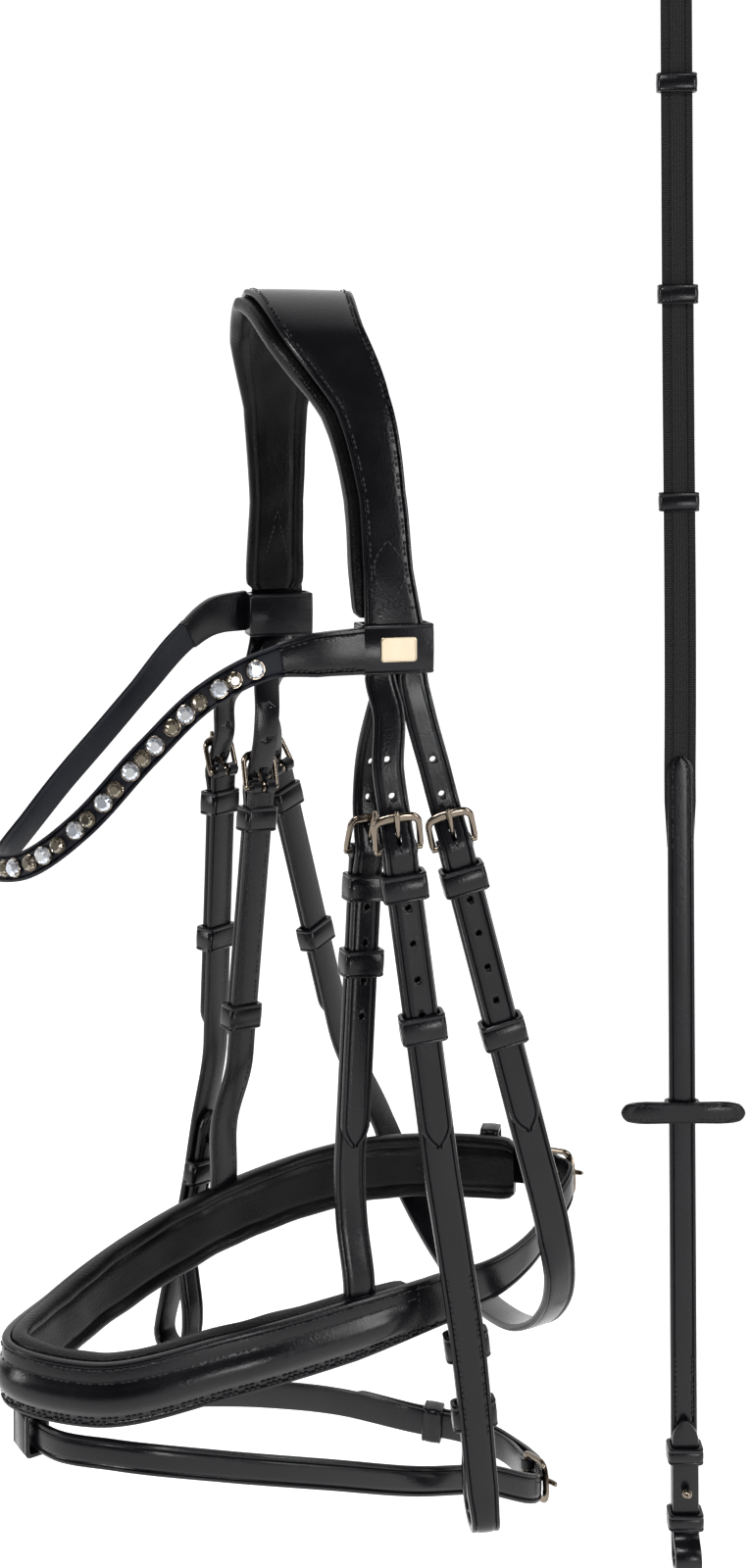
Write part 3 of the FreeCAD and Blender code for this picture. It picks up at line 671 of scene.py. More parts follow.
def punch(made, at, distances, slot):
    """Cuts the billet's holes and the prong's slot."""
    cutters = Build()
    for y in distances:
        cutters.rings([circle(at, HOLE_R, z, 16, y) for z in CUT_FROM_TO])
    if slot:
        outline = rounded_box(-SLOT_HALF, SLOT_HALF, SLOT_START, SLOT_STOP, SLOT_CORNER)
        cutters.rings([[at.at(x, y, z) for x, y in outline] for z in CUT_FROM_TO])
    cutter = cutters.object("cutter", BLACK)
    change = made.modifiers.new("holes", "BOOLEAN")
    change.operation = "DIFFERENCE"
    change.solver = "EXACT"
    change.object = cutter
    with bpy.context.temp_override(object=made, active_object=made, selected_objects=[made]):
        bpy.ops.object.modifier_apply(modifier="holes")
    bpy.data.objects.remove(cutter)


# ---------------------------------------------------------------- a billet hanging through a buckle
class Buckled:
    def __init__(self, buckle_at, tip_at, across, width, end, top, runner_below):
        self.frame = Frame(buckle_at, tip_at - buckle_at, across)
        self.reach = (tip_at - buckle_at).length
        self.width = width
        self.end = end
        self.top = top
        self.runner_below = runner_below
        self.low = -THICK / 2 - GAP
        self.high = TAIL_RISE + BILLET_THICK / 2 + GAP
        straight = (-LUG_START, -self.reach / 2, -self.reach + 4, -self.reach - 8)
        self.route = [self.frame.at(0, y, 0) for y in straight]

    def billet(self, node):
        ends = [(36, 0.0), (19, 0.3), (CROSSING, 3.2), (0, HEEL_RISE), (-8.5, TAIL_RISE + 0.1)]
        ends += [(y, TAIL_RISE) for y in (-20, 12 - self.reach, 4 - self.reach, -self.reach)]
        route = self.top + [self.frame.at(0, y, z) for y, z in ends]
        widths = [BILLET * 0.6] + [BILLET] * (len(route) - 1)
        acrosses = [self.end.across] * 2 + [self.frame.across] * (len(route) - 2)
        line = Line(route, acrosses, widths)
        line.point_tip(11)
        made = single(sweep, BLACK, node, line, strap_section(BILLET_THICK, dome=0.0))
        above = [CROSSING + k * HOLE_PITCH for k in (1, 2)]
        below = [CROSSING - k * HOLE_PITCH for k in (2, 3, 4, 5)]
        punch(made, self.frame, above + below, True)

    def keeper(self, build):
        add_keeper(build, self.frame.moved(-KEEPER_BELOW), self.width, self.low, self.high)

    def runner(self, node):
        at = self.frame.moved(-self.runner_below)
        keepers(node, [at], self.width, self.low, self.high)

    def prong(self, node):
        single(add_prong, METAL, node, self.frame)


# ---------------------------------------------------------------- headpiece
HEAD_ACROSS = vec(0.25, 0.97, 0)
CROWN = [
    vec(-78, 29, -152), vec(-75, 27.5, -125), vec(-70, 26, -92), vec(-61, 21, -42), vec(-38, 11, -7),
    vec(0, 0.5, PADDING_THICK + PADDING_GAP + CROWN_THICK / 2),
    vec(38, -7, -9), vec(60, 2, -43), vec(71, 6, -84), vec(76.5, 6, -118), vec(79, 8.6, -152),
]
CROWN_WIDTHS = [28.5, 25, 23, 28, 43, 52, 41, 27, 22, 23, 28.5]
ROLL = 5.0
LEAF_ABOVE = 34.5
LINING_END = 15.5
LEFT_END = Frame(CROWN[-1], vec(0, 0, -1), HEAD_ACROSS)
RIGHT_END = Frame(CROWN[0], vec(0, 0, -1), -HEAD_ACROSS)
SIDE_BY_SIDE = BILLET / 2 + 0.25
INBOARD = -6.6


def leaf(build, line, centre, away, height, width, rise):
    """A stitched leaf with two tails running out to the edges; away is 1 when the strap's end lies ahead."""
    for side in (-1, 1):
        path = [(side * width / 2 * math.sin(math.pi * k / 10), height * (k / 10 - 0.5)) for k in range(11)]
        path += [(side * -(2.6 * k), height / 2 + 1.3 * k) for k in (1, 2, 3, 4)]
        for (x0, y0), (x1, y1) in zip(path, path[1:]):
            x, y = (x0 + x1) / 2, (y0 + y1) / 2
            at = line.station(centre + away * y)
            along = (at.across * (x1 - x0) + at.down * (away * (y1 - y0))).normalized()
            stitch(build, at.at(x, 0, rise), along, at.out, 2.5, 0.55)


def vee(build, line, middle, away, height, width, rise):
    """A V of stitches on a lining's inner face, its point away from the strap's end."""
    steps = 8
    for side in (-1, 1):
        for k in range(steps):
            share = (k + 0.5) / steps
            at = line.station(middle + away * height * (share - 0.5))
            along = (at.across * (side * width / 2) + at.down * (away * height)).normalized()
            stitch(build, at.at(side * width / 2 * share, 0, rise), along, at.out, 2.2, 0.4)


def headpiece():
    build = Build()
    line = Line(CROWN, HEAD_ACROSS, CROWN_WIDTHS)
    sweep(build, line, strap_section(CROWN_THICK, dome=0.3))
    dress(build, BLACK, "headpiece_crown")
    seams = Build()
    both_edges(seams, line, 3.4, CROWN_THICK / 2 + 0.2, 22, line.length - 22)
    for centre, away in ((line.length - LEAF_ABOVE, 1), (LEAF_ABOVE, -1)):
        leaf(seams, line, centre, away, 27, 14, CROWN_THICK / 2 + 0.35)
    thread(seams, "headpiece_crown")

    ends = [line.station(d).place for d in (LINING_END, line.length - LINING_END)]
    lining = ends[:1] + CROWN[1:-1] + ends[1:]
    widths = [w + ROLL for w in CROWN_WIDTHS]
    widths[0], widths[-1] = widths[1], widths[-2]
    line = Line([p - HEAD_ACROSS * (ROLL / 2) for p in lining], HEAD_ACROSS, widths)
    soften_ends(line, 5)
    build = Build()
    shift = -(CROWN_THICK / 2 + PADDING_GAP + PADDING_THICK / 2)
    sweep(build, line, lambda w: pad_section(w, PADDING_THICK), shift, wrinkles(0.45))
    made = dress(build, LINING, "headpiece_padding")
    seams = Build()
    for middle, away in ((line.length - 30, 1), (30, -1)):
        vee(seams, line, middle, away, 22, 11, shift - PADDING_THICK * 0.48)
    thread(seams, "headpiece_padding")


def soften_ends(line, length):
    for i, walked in enumerate(line.walked):
        left = min(walked, line.length - walked) / length
        if left < 1:
            line.widths[i] *= 0.80 + 0.20 * math.sqrt(1 - (1 - left) ** 2)


def wrinkles(size):
    """Soft irregular folds on the lining's inner face."""
    phases = [random.uniform(0, 6.28) for _ in range(6)]

    def spoil(walked, x, z):
        if z > -1:
            return 0.0
        folds = math.sin(walked / 9.0 + phases[0] + 0.10 * x) * math.sin(walked / 23.0 + phases[1])
        folds += 0.6 * math.sin(walked / 4.1 + phases[2] - 0.16 * x) * math.sin(walked / 31.0 + phases[3])
        return size * folds
    return spoil


def below_crown(end, across):
    return [end.at(across, -2.4, 0), end.at(across, -12.5, 0)]


# ---------------------------------------------------------------- browband
BAND_THICK = 4.0
BROW = [
    vec(-83, 11.5, -150.5), vec(-80.5, -6, -152), vec(-75, -25, -162), vec(-69, -52, -186),
    vec(-63, -73, -204), vec(-54, -98, -224), vec(-42, -119, -240), vec(-25, -137, -249.5),
    vec(0, -145, -247), vec(21, -140, -241.5), vec(38, -125, -225), vec(54, -100, -192.5),
    vec(64, -76, -168), vec(71, -50, -155.5), vec(75, -30, -153), vec(76.5, -9, -152.5),
]
BROW_WIDTHS = [20, 18.5, 13.5] + [11.5] * 10 + [12.5, 18.5, 20]
CRYSTAL_PITCH, CLEAR_R, SMOKY_R, STONE_LIFT, LEATHER_END, FACETS = 17.0, 4.15, 3.6, 0.3, 44.0, 12
LOOP_WIDTH = 2 * SIDE_BY_SIDE + BILLET
LOOP_HEIGHT, LOOP_INSIDE, LOOP_OUTSIDE, LOOP_CORNER = 22.0, -10.2, CROWN_THICK / 2 + 0.6, 1.2
INTO_LOOP = 1.6      # how much further than the frame's the drawn band reaches into each loop
BAND_END, END_SEAM = 38.0, 37.0
PLATE_X, PLATE_Y, PLATE_CORNER = 8.25, 5.5, 1.6


def add_crystal(build, at, radius):
    """A brilliant-cut stone: a round girdle, a ring of crown facets and a flat table."""
    base, girdle = (circle(at, radius - 0.3, z, FACETS) for z in (0.3, 1.2))
    crown = circle(at, radius * 0.80, 2.5, FACETS, turn=math.pi / FACETS)
    table = circle(at, radius * 0.5, 3.6, FACETS)
    verts = base + girdle + crown + table
    low, middle, top = FACETS, 2 * FACETS, 3 * FACETS
    faces = [tuple(range(top, top + FACETS))]
    for k in range(FACETS):
        n = (k + 1) % FACETS
        faces += [(k, n, low + n, low + k), (low + k, low + n, middle + k)]
        faces += [(low + n, middle + n, middle + k), (middle + k, middle + n, top + n)]
        faces.append((middle + k, top + n, top + k))
    build.add(verts, faces)


def add_cup(build, at, radius):
    """The metal setting: a thin ring with four claws."""
    tube(build, circle(at, radius, 0.8, 24), 0.32, sides=6, closed=True)
    for k in range(4):
        turn = math.pi / 4 + math.pi / 2 * k
        claw = [at.at(r * math.cos(turn), r * math.sin(turn), z) for r, z in
                ((radius, 0.4), (radius - 0.1, 1.8), (radius - 0.8, 2.5))]
        tube(build, claw, 0.3, sides=6)


def browband():
    into_loops = [a + (a - b).normalized() * INTO_LOOP for a, b in (BROW[:2], BROW[:-3:-1])]
    line = Line(into_loops[:1] + BROW[1:-1] + into_loops[1:], UP, BROW_WIDTHS)
    single(sweep, BAND, "browband_strap", line, strap_section(BAND_THICK, crease=1.2, dome=0.0))
    ends = Build()
    for start, stop in ((0.0, BAND_END), (line.length - BAND_END, line.length)):
        sweep(ends, line.part(start, stop, wider=0.7), strap_section(BAND_THICK + 1.0, dome=0.5))
    dress(ends, BLACK, "browband_strap", name="browband_ends", stands=False)
    seam("browband_strap", line, 2.3, BAND_THICK / 2 + 0.55,
         (2.0, END_SEAM), (line.length - END_SEAM, line.length - 2.0))
    piping = Build()
    for side in (-1, 1):
        edge = [at.at(side * (w / 2 - 0.3), 0, BAND_THICK / 2) for at, w, walked in
                zip(line.frames, line.widths, line.walked) if 36 < walked < line.length - 36]
        tube(piping, edge, 0.7, sides=8)
    dress(piping, BAND, "browband_strap", name="browband_edging", stands=False)

    count = int((line.length - 2 * LEATHER_END) // CRYSTAL_PITCH)
    first = (line.length - count * CRYSTAL_PITCH) / 2
    clear = [first + k * CRYSTAL_PITCH for k in range(count + 1)]
    smoky = [first + (k + 0.5) * CRYSTAL_PITCH for k in range(count)]
    kinds = (("clear", CLEAR, CLEAR_R, clear), ("smoky", SMOKY, SMOKY_R, smoky))
    for kind, material, radius, distances in kinds:
        node = "browband_crystals_" + kind
        stones, cups = Build(), Build()
        for d in distances:
            at = line.station(d).moved(0, BAND_THICK / 2 + STONE_LIFT)
            add_crystal(stones, at, radius)
            add_cup(cups, at, radius - 0.15)
        made = dress(stones, material, node)
        made.data.shade_flat()
        dress(cups, METAL, node, name=node + "_cups", stands=False)
    for side, end in (("left", LEFT_END), ("right", RIGHT_END)):
        keepers("browband_loop_" + side, [end], LOOP_WIDTH, LOOP_INSIDE, LOOP_OUTSIDE,
                LOOP_HEIGHT, LOOP_CORNER)
    plate = Build()
    at = LEFT_END.moved(0, LOOP_OUTSIDE + KEEPER_WALL)
    outline = rounded_box(-PLATE_X, PLATE_X, -PLATE_Y, PLATE_Y, PLATE_CORNER)
    rows = ((0.0, 1.0), (0.9, 1.0), (1.2, 0.96), (1.2, 0.90), (1.02, 0.88))
    plate.rings([[at.at(x * s, y * s, z) for x, y in outline] for z, s in rows])
    dress(plate, GOLD, "browband_plate")


# ---------------------------------------------------------------- cheekpieces
LEFT_ACROSS = vec(0.36, 0.93, 0)
RIGHT_ACROSS = vec(0.39, -0.92, 0)
RETURN = -(THICK + GAP + 0.1)
RETURN_LENGTH = 108.0
SEWN_DEPTH = 0.4
LOOP_STRAP = 13.0
STUD_ABOVE = 92.0


def cheek(side, pair, across, lower):
    base = Frame(lower[-1], lower[-1] - lower[-2], across)
    fold = half_loop(base, LOOP_R, -1)
    neck = [(10, -2 * LOOP_R + 1.8), (24, -9.8), (36, RETURN - 0.3)]
    front = pair.route + lower[:-1] + [base.at(0, 12, 0)]
    face = Line(front + [base.place], across)
    fold += [base.at(0, y, z) for y, z in neck]
    fold += [face.station(face.length - y).at(0, 0, RETURN) for y in (46, 76, RETURN_LENGTH)]
    widths = [STRAP] * (len(front) - 1) + [STRAP - 1.5] + [LOOP_STRAP] * len(fold)
    line = Line(front + fold, across, widths)
    line.point_tip(8)
    node = "cheekpiece_" + side
    leather_strap(node, line, THICK, (pair.frame, STRAP))
    below = Line(front, across, widths[:len(front)]).length
    seam(node, line, 2.7, THICK / 2, (2, 22), (below - 100, below - 26))
    pair.billet("cheek_billet_" + side)
    single(add_buckle, METAL, "cheek_buckle_" + side, pair.frame, STRAP)
    pair.prong("cheek_prong_" + side)
    pair.runner("cheek_runner_" + side)
    build = Build()
    pair.keeper(build)
    for y in (46.0, 78.0):
        add_keeper(build, face.station(face.length - y), STRAP, RETURN - THICK / 2 - GAP,
                   SEWN_DEPTH - KEEPER_WALL)
    dress(build, BLACK, "cheek_keepers_" + side)
    inside = face.station(face.length - STUD_ABOVE).moved(0, -THICK / 2)
    single(add_stud, METAL, "bit_hook_stud_" + side, inside, -1)


def cheeks():
    left = Buckled(vec(84, 7, -240), vec(86, 26, -373), LEFT_ACROSS, STRAP, LEFT_END,
                   below_crown(LEFT_END, -SIDE_BY_SIDE) + [vec(81, 3.5, -180)], 80)
    cheek("left", left, LEFT_ACROSS, [vec(86.5, 33, -415), vec(87.2, 41, -465), vec(88, 50, -545.5)])
    right = Buckled(vec(-84, 1, -233), vec(-86, -2.5, -367), RIGHT_ACROSS, STRAP, RIGHT_END,
                    below_crown(RIGHT_END, SIDE_BY_SIDE) + [vec(-80, 16, -180)], 86)
    cheek("right", right, RIGHT_ACROSS, [vec(-87, -9, -412), vec(-88, -15, -450), vec(-88, -30, -513)])


# ---------------------------------------------------------------- noseband
NOSE = [
    vec(-22, 142, -444), vec(-45, 117, -445), vec(-61, 75, -444), vec(-68, 5, -451),
    vec(-61, -55, -462.5), vec(-39, -108, -472), vec(0, -143, -469), vec(38, -116, -469),
    vec(59, -62, -461), vec(65.5, -5, -457), vec(64, 43, -455),
]
REAR_BUCKLE = Frame(vec(-1, 145, -440), vec(-1, -0.14, -0.1), UP)
REAR_OVERLAP, REAR_TIP = 12.0, 104.0
NOSE_KEEPERS = (34.0, 62.0)
SWELL_FROM, SWELL_BEFORE = 70.0, 14.0      # the raised middle's ends, from the buckle and the far end
FLASH_LOOP_HALF, FLASH_LOOP_HEIGHT = 3.8, 15.0
FLASH_LOOP = Frame(vec(2, -133, -495.5), vec(1, 0.05, 0), UP)


def hangers():
    left_top = [LEFT_END.at(0, 0.5, INBOARD), LEFT_END.at(0, -11.5, INBOARD), vec(66.5, 9, -178)]
    right_top = [RIGHT_END.at(0, 0.5, INBOARD), RIGHT_END.at(0, -11.5, INBOARD), vec(-66, 18, -178)]
    left = Buckled(vec(52, 8, -247), vec(54, -0.5, -379), vec(0.1, 0.99, 0), HANGER, LEFT_END, left_top, 50)
    right = Buckled(vec(-52, 7, -236.5), vec(-54, -3.5, -366), vec(0.16, -0.99, 0), HANGER, RIGHT_END,
                    right_top, 115)
    buckles, loops = Build(), Build()
    for side, pair, lower in (
            ("left", left, [vec(56, -1, -414), vec(60.5, 0, -438), vec(61.6, 0, -450)]),
            ("right", right, [vec(-57.5, -11, -404), vec(-62.6, -9, -435), vec(-64, -9, -448)])):
        line = Line(pair.route + lower, pair.frame.across, HANGER)
        leather_strap("noseband_hanger_" + side, line, THICK, (pair.frame, HANGER))
        seams = Build()
        both_edges(seams, line, 2.6, THICK / 2, 2, 22)
        both_edges(seams, line, 2.6, -THICK / 2, 2, line.length - 4)
        thread(seams, "noseband_hanger_" + side)
        pair.billet("noseband_billet_" + side)
        pair.prong("hanger_prong_" + side)
        pair.runner("hanger_runner_" + side)
        add_buckle(buckles, pair.frame, HANGER)
        pair.keeper(loops)
    dress(buckles, METAL, "hanger_buckles")
    dress(loops, BLACK, "hanger_keepers")


def noseband():
    chape = REAR_BUCKLE.at(0, -LUG_START, 0)
    widths = [REAR, REAR + 2, NOSE_HEIGHT - 1] + [NOSE_HEIGHT] * (len(NOSE) - 3) + [NOSE_HEIGHT - 4]
    line = Line([chape] + NOSE, UP, widths)
    build = Build()
    rings, uvs = [], []
    for at, width, walked in zip(line.frames, line.widths, line.walked):
        ease = min(1.0, max(0.0, (walked - SWELL_FROM) / 25))
        ease *= min(1.0, max(0.0, (line.length - SWELL_BEFORE - walked) / 18))
        shape = section(width, NOSE_THICK, swell=(-8.2, 4.6, 2.6 * ease + 0.001))
        rings.append([at.at(x, 0, z) for x, z in shape])
        uvs += [(walked, x) for x, z in shape]
    build.rings(rings, uvs=uvs)
    add_lug(build, REAR_BUCKLE, REAR)
    dress(build, BLACK, "noseband_front")
    seams = Build()
    both_edges(seams, line, 2.3, NOSE_THICK / 2, 6, line.length - 3)
    for across in (5.8, -9.4):
        stitch_row(seams, line, lambda w, a=across: a, NOSE_THICK / 2 + 0.1, SWELL_FROM, line.length - 16)
    for k in range(8):
        at = line.station(line.length - SWELL_BEFORE)
        stitch(seams, at.at(-10.5 + 3 * k, 0, NOSE_THICK / 2 + 0.1), at.across, at.out, 2.2, 0.36)
    thread(seams, "noseband_front")

    low = -NOSE_THICK / 2 - GAP
    high = NOSE_THICK / 2 + 2 * GAP + PLY + 0.4
    lining_end = line.station(line.length - REAR_OVERLAP - 4).place
    heights = [NOSE_PAD_HEIGHT] * 6 + [NOSE_PAD_HEIGHT - 3]
    heights += [NOSE_HEIGHT + 1] * 2 + [NOSE_HEIGHT, NOSE_HEIGHT - 6]
    pad = Line(NOSE[:-1] + [lining_end], UP, heights)
    soften_ends(pad, 9)
    made = single(sweep, LINING, "noseband_padding", pad, lambda w: pad_section(w, NOSE_PAD_THICK),
                  low - NOSE_PAD_THICK / 2, wrinkles(0.55))
    seams = Build()
    vee(seams, pad, 42, -1, 30, 12, low - NOSE_PAD_THICK * 0.97)
    thread(seams, "noseband_padding")
    keepers("noseband_keepers", [line.station(d) for d in NOSE_KEEPERS], NOSE_PAD_HEIGHT, low, high, 10.0)

    rise = NOSE_THICK / 2 + GAP + 0.3 + PLY / 2
    left_end = Frame(NOSE[-1], NOSE[-1] - NOSE[-2], UP)
    sewn = [left_end.at(0, y, low - 0.1 - PLY / 2) for y in (REAR_OVERLAP, 2)]
    left = [vec(59, 70, -455.5), vec(48, 100, -454), vec(32, 126, -449)]
    over = [(19, 0.3), (CROSSING, 3.2), (0, HEEL_RISE), (-9, rise + 1)]
    lies = (22, 40, 60, 80, REAR_TIP - 12, REAR_TIP - 4, REAR_TIP)
    tail = [line.station(d).at(0, 0, rise) for d in lies]
    rear = sewn + left + [REAR_BUCKLE.at(0, y, z) for y, z in over] + tail
    strap = Line(rear, UP, [20, 20, 19, 17] + [REAR - 1.5] * (len(rear) - 4))
    strap.point_tip(12)
    made = leather_strap("noseband_rear_strap", strap, PLY)
    punch(made, REAR_BUCKLE, [], True)
    seam("noseband_rear_strap", strap, 2.3, PLY / 2, (14, 32))
    single(add_buckle, METAL, "noseband_buckle", REAR_BUCKLE, REAR)
    single(add_prong, METAL, "noseband_prong", REAR_BUCKLE)
    keepers("flash_loop", [FLASH_LOOP], FLASH + 1.2, -FLASH_LOOP_HALF, FLASH_LOOP_HALF, FLASH_LOOP_HEIGHT)


# ---------------------------------------------------------------- flash strap
FLASH_BUCKLE = Frame(vec(32, 112, -571), vec(-0.93, 0.33, -0.18), UP)
FLASH_RING = [
    vec(0, 119, -577), vec(-24, 111, -577), vec(-42, 94, -576), vec(-53, 55, -561), vec(-54, 10, -545),
    vec(-50, -40, -529), vec(-39, -92, -509), vec(-20, -125, -498), vec(2, -133, -495.5),
    vec(22, -129, -494.5), vec(42, -110, -494.5), vec(56, -66, -505), vec(61, -15, -521),
    vec(60, 30, -537.5), vec(55, 72, -551.5),
]
FLASH_TIP = 122.0
FLASH_KEEPERS = {"flash_keeper": (50.0, 0.0), "flash_runner": (74.0, 0.5)}      # distance, play


def flash():
    chape = FLASH_BUCKLE.at(0, -LUG_START, 0)
    line = Line([chape] + FLASH_RING, UP)
    rise = PLY + GAP + 0.3
    over = [(18, 0.5), (CROSSING, 3.2), (0, HEEL_RISE), (-9, rise + 1.4)]
    lies = (24, 44, 64, 84, FLASH_TIP - 12, FLASH_TIP - 4, FLASH_TIP)
    tail = [line.station(d).at(0, 0, rise) for d in lies]
    route = [chape] + FLASH_RING + [FLASH_BUCKLE.at(0, y, z) for y, z in over] + tail
    strap = Line(route, UP, FLASH)
    strap.point_tip(10)
    made = leather_strap("flash_strap", strap, PLY, (FLASH_BUCKLE, FLASH))
    punch(made, FLASH_BUCKLE, [], True)
    single(add_buckle, METAL, "flash_buckle", FLASH_BUCKLE, FLASH)
    single(add_prong, METAL, "flash_prong", FLASH_BUCKLE)
    low, high = -PLY / 2 - GAP, rise + PLY / 2 + GAP
    for node, (distance, play) in FLASH_KEEPERS.items():
        keepers(node, [line.station(distance)], FLASH, low - play, high + play, 10.0)


# ---------------------------------------------------------------- throatlatch
UNDER_JAW = [
    vec(88, 88, -427), vec(86.5, 92, -445), vec(81, 95, -459), vec(68, 98, -475), vec(46, 101, -489),
    vec(15, 105, -497), vec(-22, 110, -498), vec(-52, 110, -486), vec(-72, 104, -462), vec(-81, 95, -432),
]


def throatlatch():
    left = Buckled(vec(84, 36, -241), vec(88, 73, -374), LEFT_ACROSS, STRAP, LEFT_END,
                   below_crown(LEFT_END, SIDE_BY_SIDE) + [vec(81.5, 19, -180)], 90)
    right = Buckled(vec(-84, 34, -235), vec(-83, 67.5, -370), RIGHT_ACROSS, STRAP, RIGHT_END,
                    below_crown(RIGHT_END, -SIDE_BY_SIDE) + [vec(-80, 32, -180)], 93)
    route = left.route + UNDER_JAW + right.route[::-1]
    across = [LEFT_ACROSS] * 5 + [vec(0, 1, 0)] * (len(route) - 10) + [-RIGHT_ACROSS] * 5
    line = Line(route, across, STRAP)
    leather_strap("throatlatch", line, THICK, (left.frame, STRAP), (right.frame, STRAP))
    seam("throatlatch", line, 2.7, THICK / 2, (2, 26), (line.length - 26, line.length - 2))
    buckles, loops = Build(), Build()
    for side, pair in (("left", left), ("right", right)):
        pair.billet("throat_billet_" + side)
        pair.prong("throat_prong_" + side)
        pair.runner("throat_runner_" + side)
        add_buckle(buckles, pair.frame, STRAP)
        pair.keeper(loops)
    dress(buckles, METAL, "throat_buckles")
    dress(loops, BLACK, "throat_keepers")


# ---------------------------------------------------------------- rein
REIN = Frame(vec(59.1, 184.4, 0), vec(0.0027, 0.0046, -1), vec(0.5, 0.866, 0))
REIN_WEB, REIN_LEATHER, REIN_THICK = 15.8, 13.2, 3.4
REIN_TOP, REIN_TAB, REIN_BASE, REIN_LOOP_R = 168.0, -219.5, -616.0, 6.5
WEB_TUCK, WEB_UNDER, TAB_ROUND = 46.0, 0.9, 8.0
MARTINGALE_STOP, STOP_HALF = -397.0, 31.0


def rein():
    top = REIN.moved(REIN_TOP)
    under_tab = [REIN.at(0, REIN_TAB - y, -WEB_UNDER) for y in (6, WEB_TUCK / 2, WEB_TUCK)]
    points = [top.at(0, -LUG_START, 0), REIN.at(0, 0, 0), REIN.at(0, REIN_TAB + 6, 0)] + under_tab
    web = Line(points, REIN.across, [REIN_WEB] * (len(points) - 1) + [REIN_LEATHER])
    build = Build()
    sweep(build, web, strap_section(REIN_THICK - 1.2, crease=3.6, dome=0.2))
    add_lug(build, top, REIN_WEB)
    dress(build, WEB, "rein_web")
    single(add_buckle, METAL, "rein_buckle", top, REIN_WEB)

    base = REIN.moved(REIN_BASE)
    fold = half_loop(base, REIN_LOOP_R, 1)
    rise = REIN_THICK + GAP + 0.1
    neck = [(4, 2 * REIN_LOOP_R - 1.2), (8, rise + 2.4), (12, rise + 0.3)]
    front = [REIN.at(0, y, 0) for y in (REIN_TAB, REIN_TAB - 20, -264, -272, -400, REIN_BASE + 30)]
    neck += [(y, rise) for y in (20, 40, 60, 66)]
    route = front + fold + [base.at(0, y, z) for y, z in neck]
    line = Line(route, REIN.across, REIN_LEATHER)
    line.point_tip(10)
    for i, walked in enumerate(line.walked):
        if walked < TAB_ROUND:
            line.widths[i] = REIN_LEATHER * math.sqrt(max(0.1, 1 - (1 - walked / TAB_ROUND) ** 2))
    leather_strap("rein_leather", line, REIN_THICK)
    seam("rein_leather", line, 2.4, REIN_THICK / 2, (4, 44), (300, 396))
    around = REIN_THICK / 2 + GAP
    stops = [REIN.moved(y) for y in (118.0, 12.0, -92.0)]
    keepers("rein_stops", stops, REIN_WEB, -around, around, 9.6)
    beside_stud = [REIN.moved(y) for y in (-567.0, -600.0)]
    keepers("rein_keepers", beside_stud, REIN_LEATHER, -around, rise + around + 0.4, 8.0)
    single(add_stud, METAL, "rein_hook_stud", REIN.moved(-585.0, REIN_THICK / 2), 1)
    at = REIN.moved(MARTINGALE_STOP)
    build = Build()
    add_keeper(build, at, REIN_LEATHER, -around, around, 10.0)
    outline = [(-STOP_HALF, -2.2), (-STOP_HALF, 2.2), (-STOP_HALF + 5, 5.6), (-8, 5.2)]
    outline += mirrored(outline)
    outline = smooth_outline(outline[1:7] + [(-x, -y) for x, y in outline[1:7]])
    body, top = [(0.0, 0.95), (0.4, 1.0), (1.8, 1.0), (2.2, 0.95)], [(2.35, 0.80), (2.35, 0.3)]
    groove = [(2.3, 0.86), (2.1, 0.83)]
    rows = [(around + 0.2 + z, scale) for z, scale in body + groove + top]
    build.rings([[at.at(x * s, y * s, z) for x, y in outline] for z, s in rows])
    dress(build, BLACK, "martingale_stop")
    seams = Build()
    for side in (-1, 1):
        for k in range(7):
            for edge in (-1, 1):
                middle = at.at(side * (9.5 + 2.9 * k), edge * 3.3, around + 2.5)
                stitch(seams, middle, at.across, at.out, 2.1, 0.34)
    thread(seams, "martingale_stop")


headpiece()
browband()
cheeks()
hangers()
noseband()
flash()
throatlatch()
rein()

# ---------------------------------------------------------------- floor, light and camera
AZIMUTH = math.radians(60)
FORWARD = Vector((-math.sin(AZIMUTH), math.cos(AZIMUTH), 0))
FLOOR_HALF, FLOOR_HEIGHT = 60.0, -0.76
WHITE = (1, 1, 1, 1)
floor_mesh = bpy.data.meshes.new("floor")
corners = [(x * FLOOR_HALF, y * FLOOR_HALF, FLOOR_HEIGHT) for x, y in ((-1, -1), (1, -1), (1, 1), (-1, 1))]
floor_mesh.from_pydata(corners, [], [(0, 1, 2, 3)])
floor_material, nodes, links, shader = new_material("floor")
shader.inputs["Base Color"].default_value = (0.62, 0.62, 0.62, 1)
shader.inputs["Roughness"].default_value = 0.9
shader.inputs["Emission Color"].default_value = WHITE
ahead = dot(nodes, links, nodes.new("ShaderNodeNewGeometry").outputs["Position"], FORWARD)
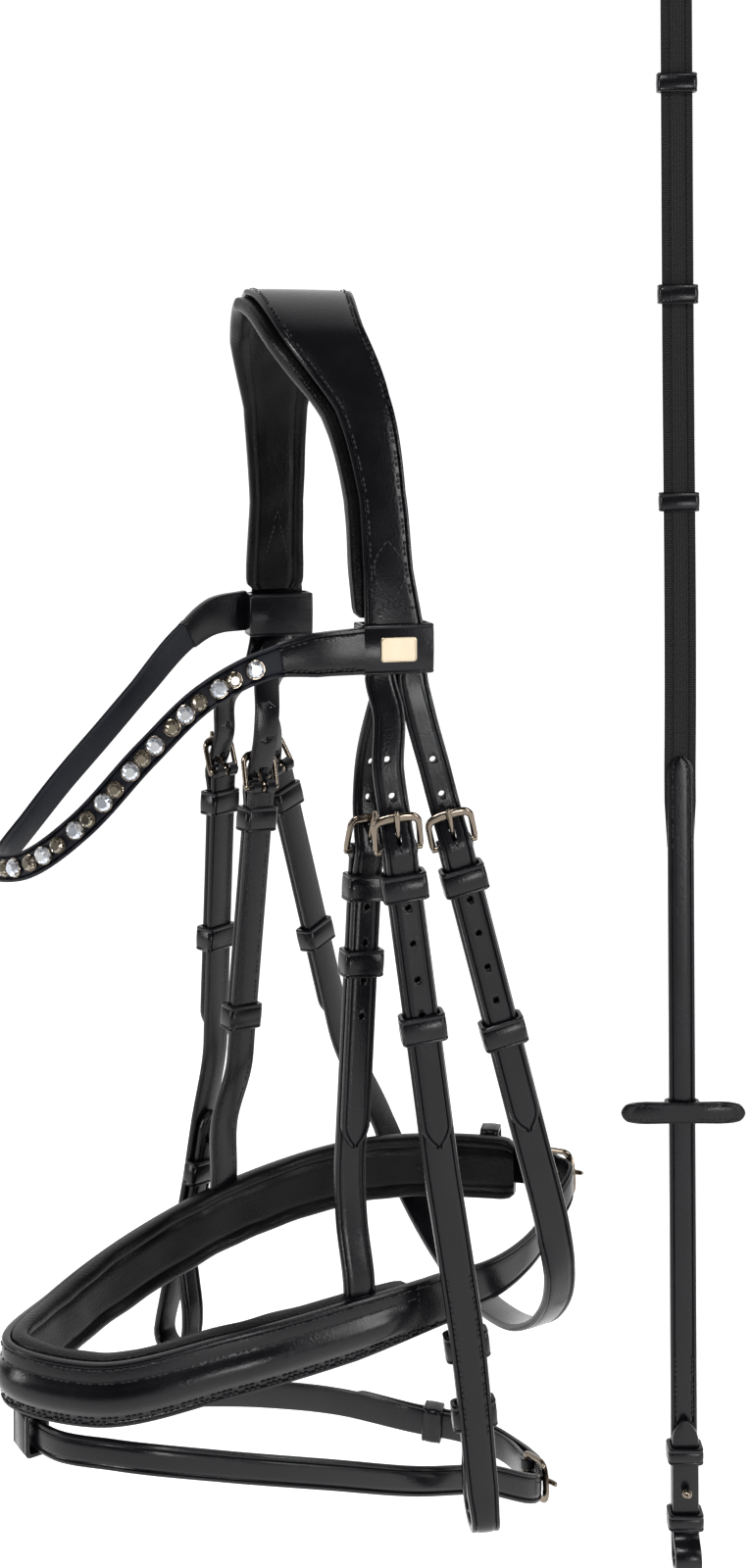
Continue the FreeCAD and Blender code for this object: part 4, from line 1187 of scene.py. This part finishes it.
glow = remap(nodes, links, ahead, 0.0, 0.95, start=-1.5, stop=-0.1)
links.new(glow, shader.inputs["Emission Strength"])
floor_mesh.materials.append(floor_material)
floor = bpy.data.objects.new("floor", floor_mesh)
bpy.context.scene.collection.objects.link(floor)

world = bpy.data.worlds.new("studio")
bpy.context.scene.world = world
world.use_nodes = True
nodes, links = world.node_tree.nodes, world.node_tree.links
lit = nodes["Background"]
lit.inputs["Color"].default_value = WHITE
towards = dot(nodes, links, nodes.new("ShaderNodeTexCoord").outputs["Generated"], FORWARD)
links.new(remap(nodes, links, towards, 0.05, 1.05, start=0.0, stop=0.6), lit.inputs["Strength"])


def lamp(name, place, aim, size, power):
    data = bpy.data.lights.new(name, "AREA")
    data.shape = "RECTANGLE"
    data.size, data.size_y = size
    data.energy = power
    made = bpy.data.objects.new(name, data)
    made.location = place
    made.rotation_euler = (Vector(aim) - Vector(place)).to_track_quat("-Z", "Y").to_euler()
    bpy.context.scene.collection.objects.link(made)


lamp("overhead", (0.9, -0.9, 1.3), (0, -0.05, -0.3), (0.9, 0.3), 24)
lamp("side", (1.5, 0.7, 0.1), (0.05, 0.05, -0.3), (0.25, 1.2), 12)
lamp("front", (-0.3, -1.7, 0.2), (0, 0, -0.3), (0.3, 1.2), 14)
lamp("near", (1.6, -0.15, -0.45), (0.08, 0.03, -0.4), (0.2, 0.35), 4)

DISTANCE, ASIDE, HEIGHT = 0.876, 0.038, -0.048
camera_data = bpy.data.cameras.new("camera")
camera_data.lens = 42
camera_data.sensor_width = 36
camera_data.shift_y = -0.236
camera = bpy.data.objects.new("camera", camera_data)
camera.location = (DISTANCE * math.sin(AZIMUTH) + ASIDE * math.cos(AZIMUTH),
                   -DISTANCE * math.cos(AZIMUTH) + ASIDE * math.sin(AZIMUTH), HEIGHT)
camera.rotation_euler = (math.pi / 2, 0, AZIMUTH)
bpy.context.scene.collection.objects.link(camera)
bpy.context.scene.camera = camera
bpy.context.scene.view_settings.view_transform = "Standard"
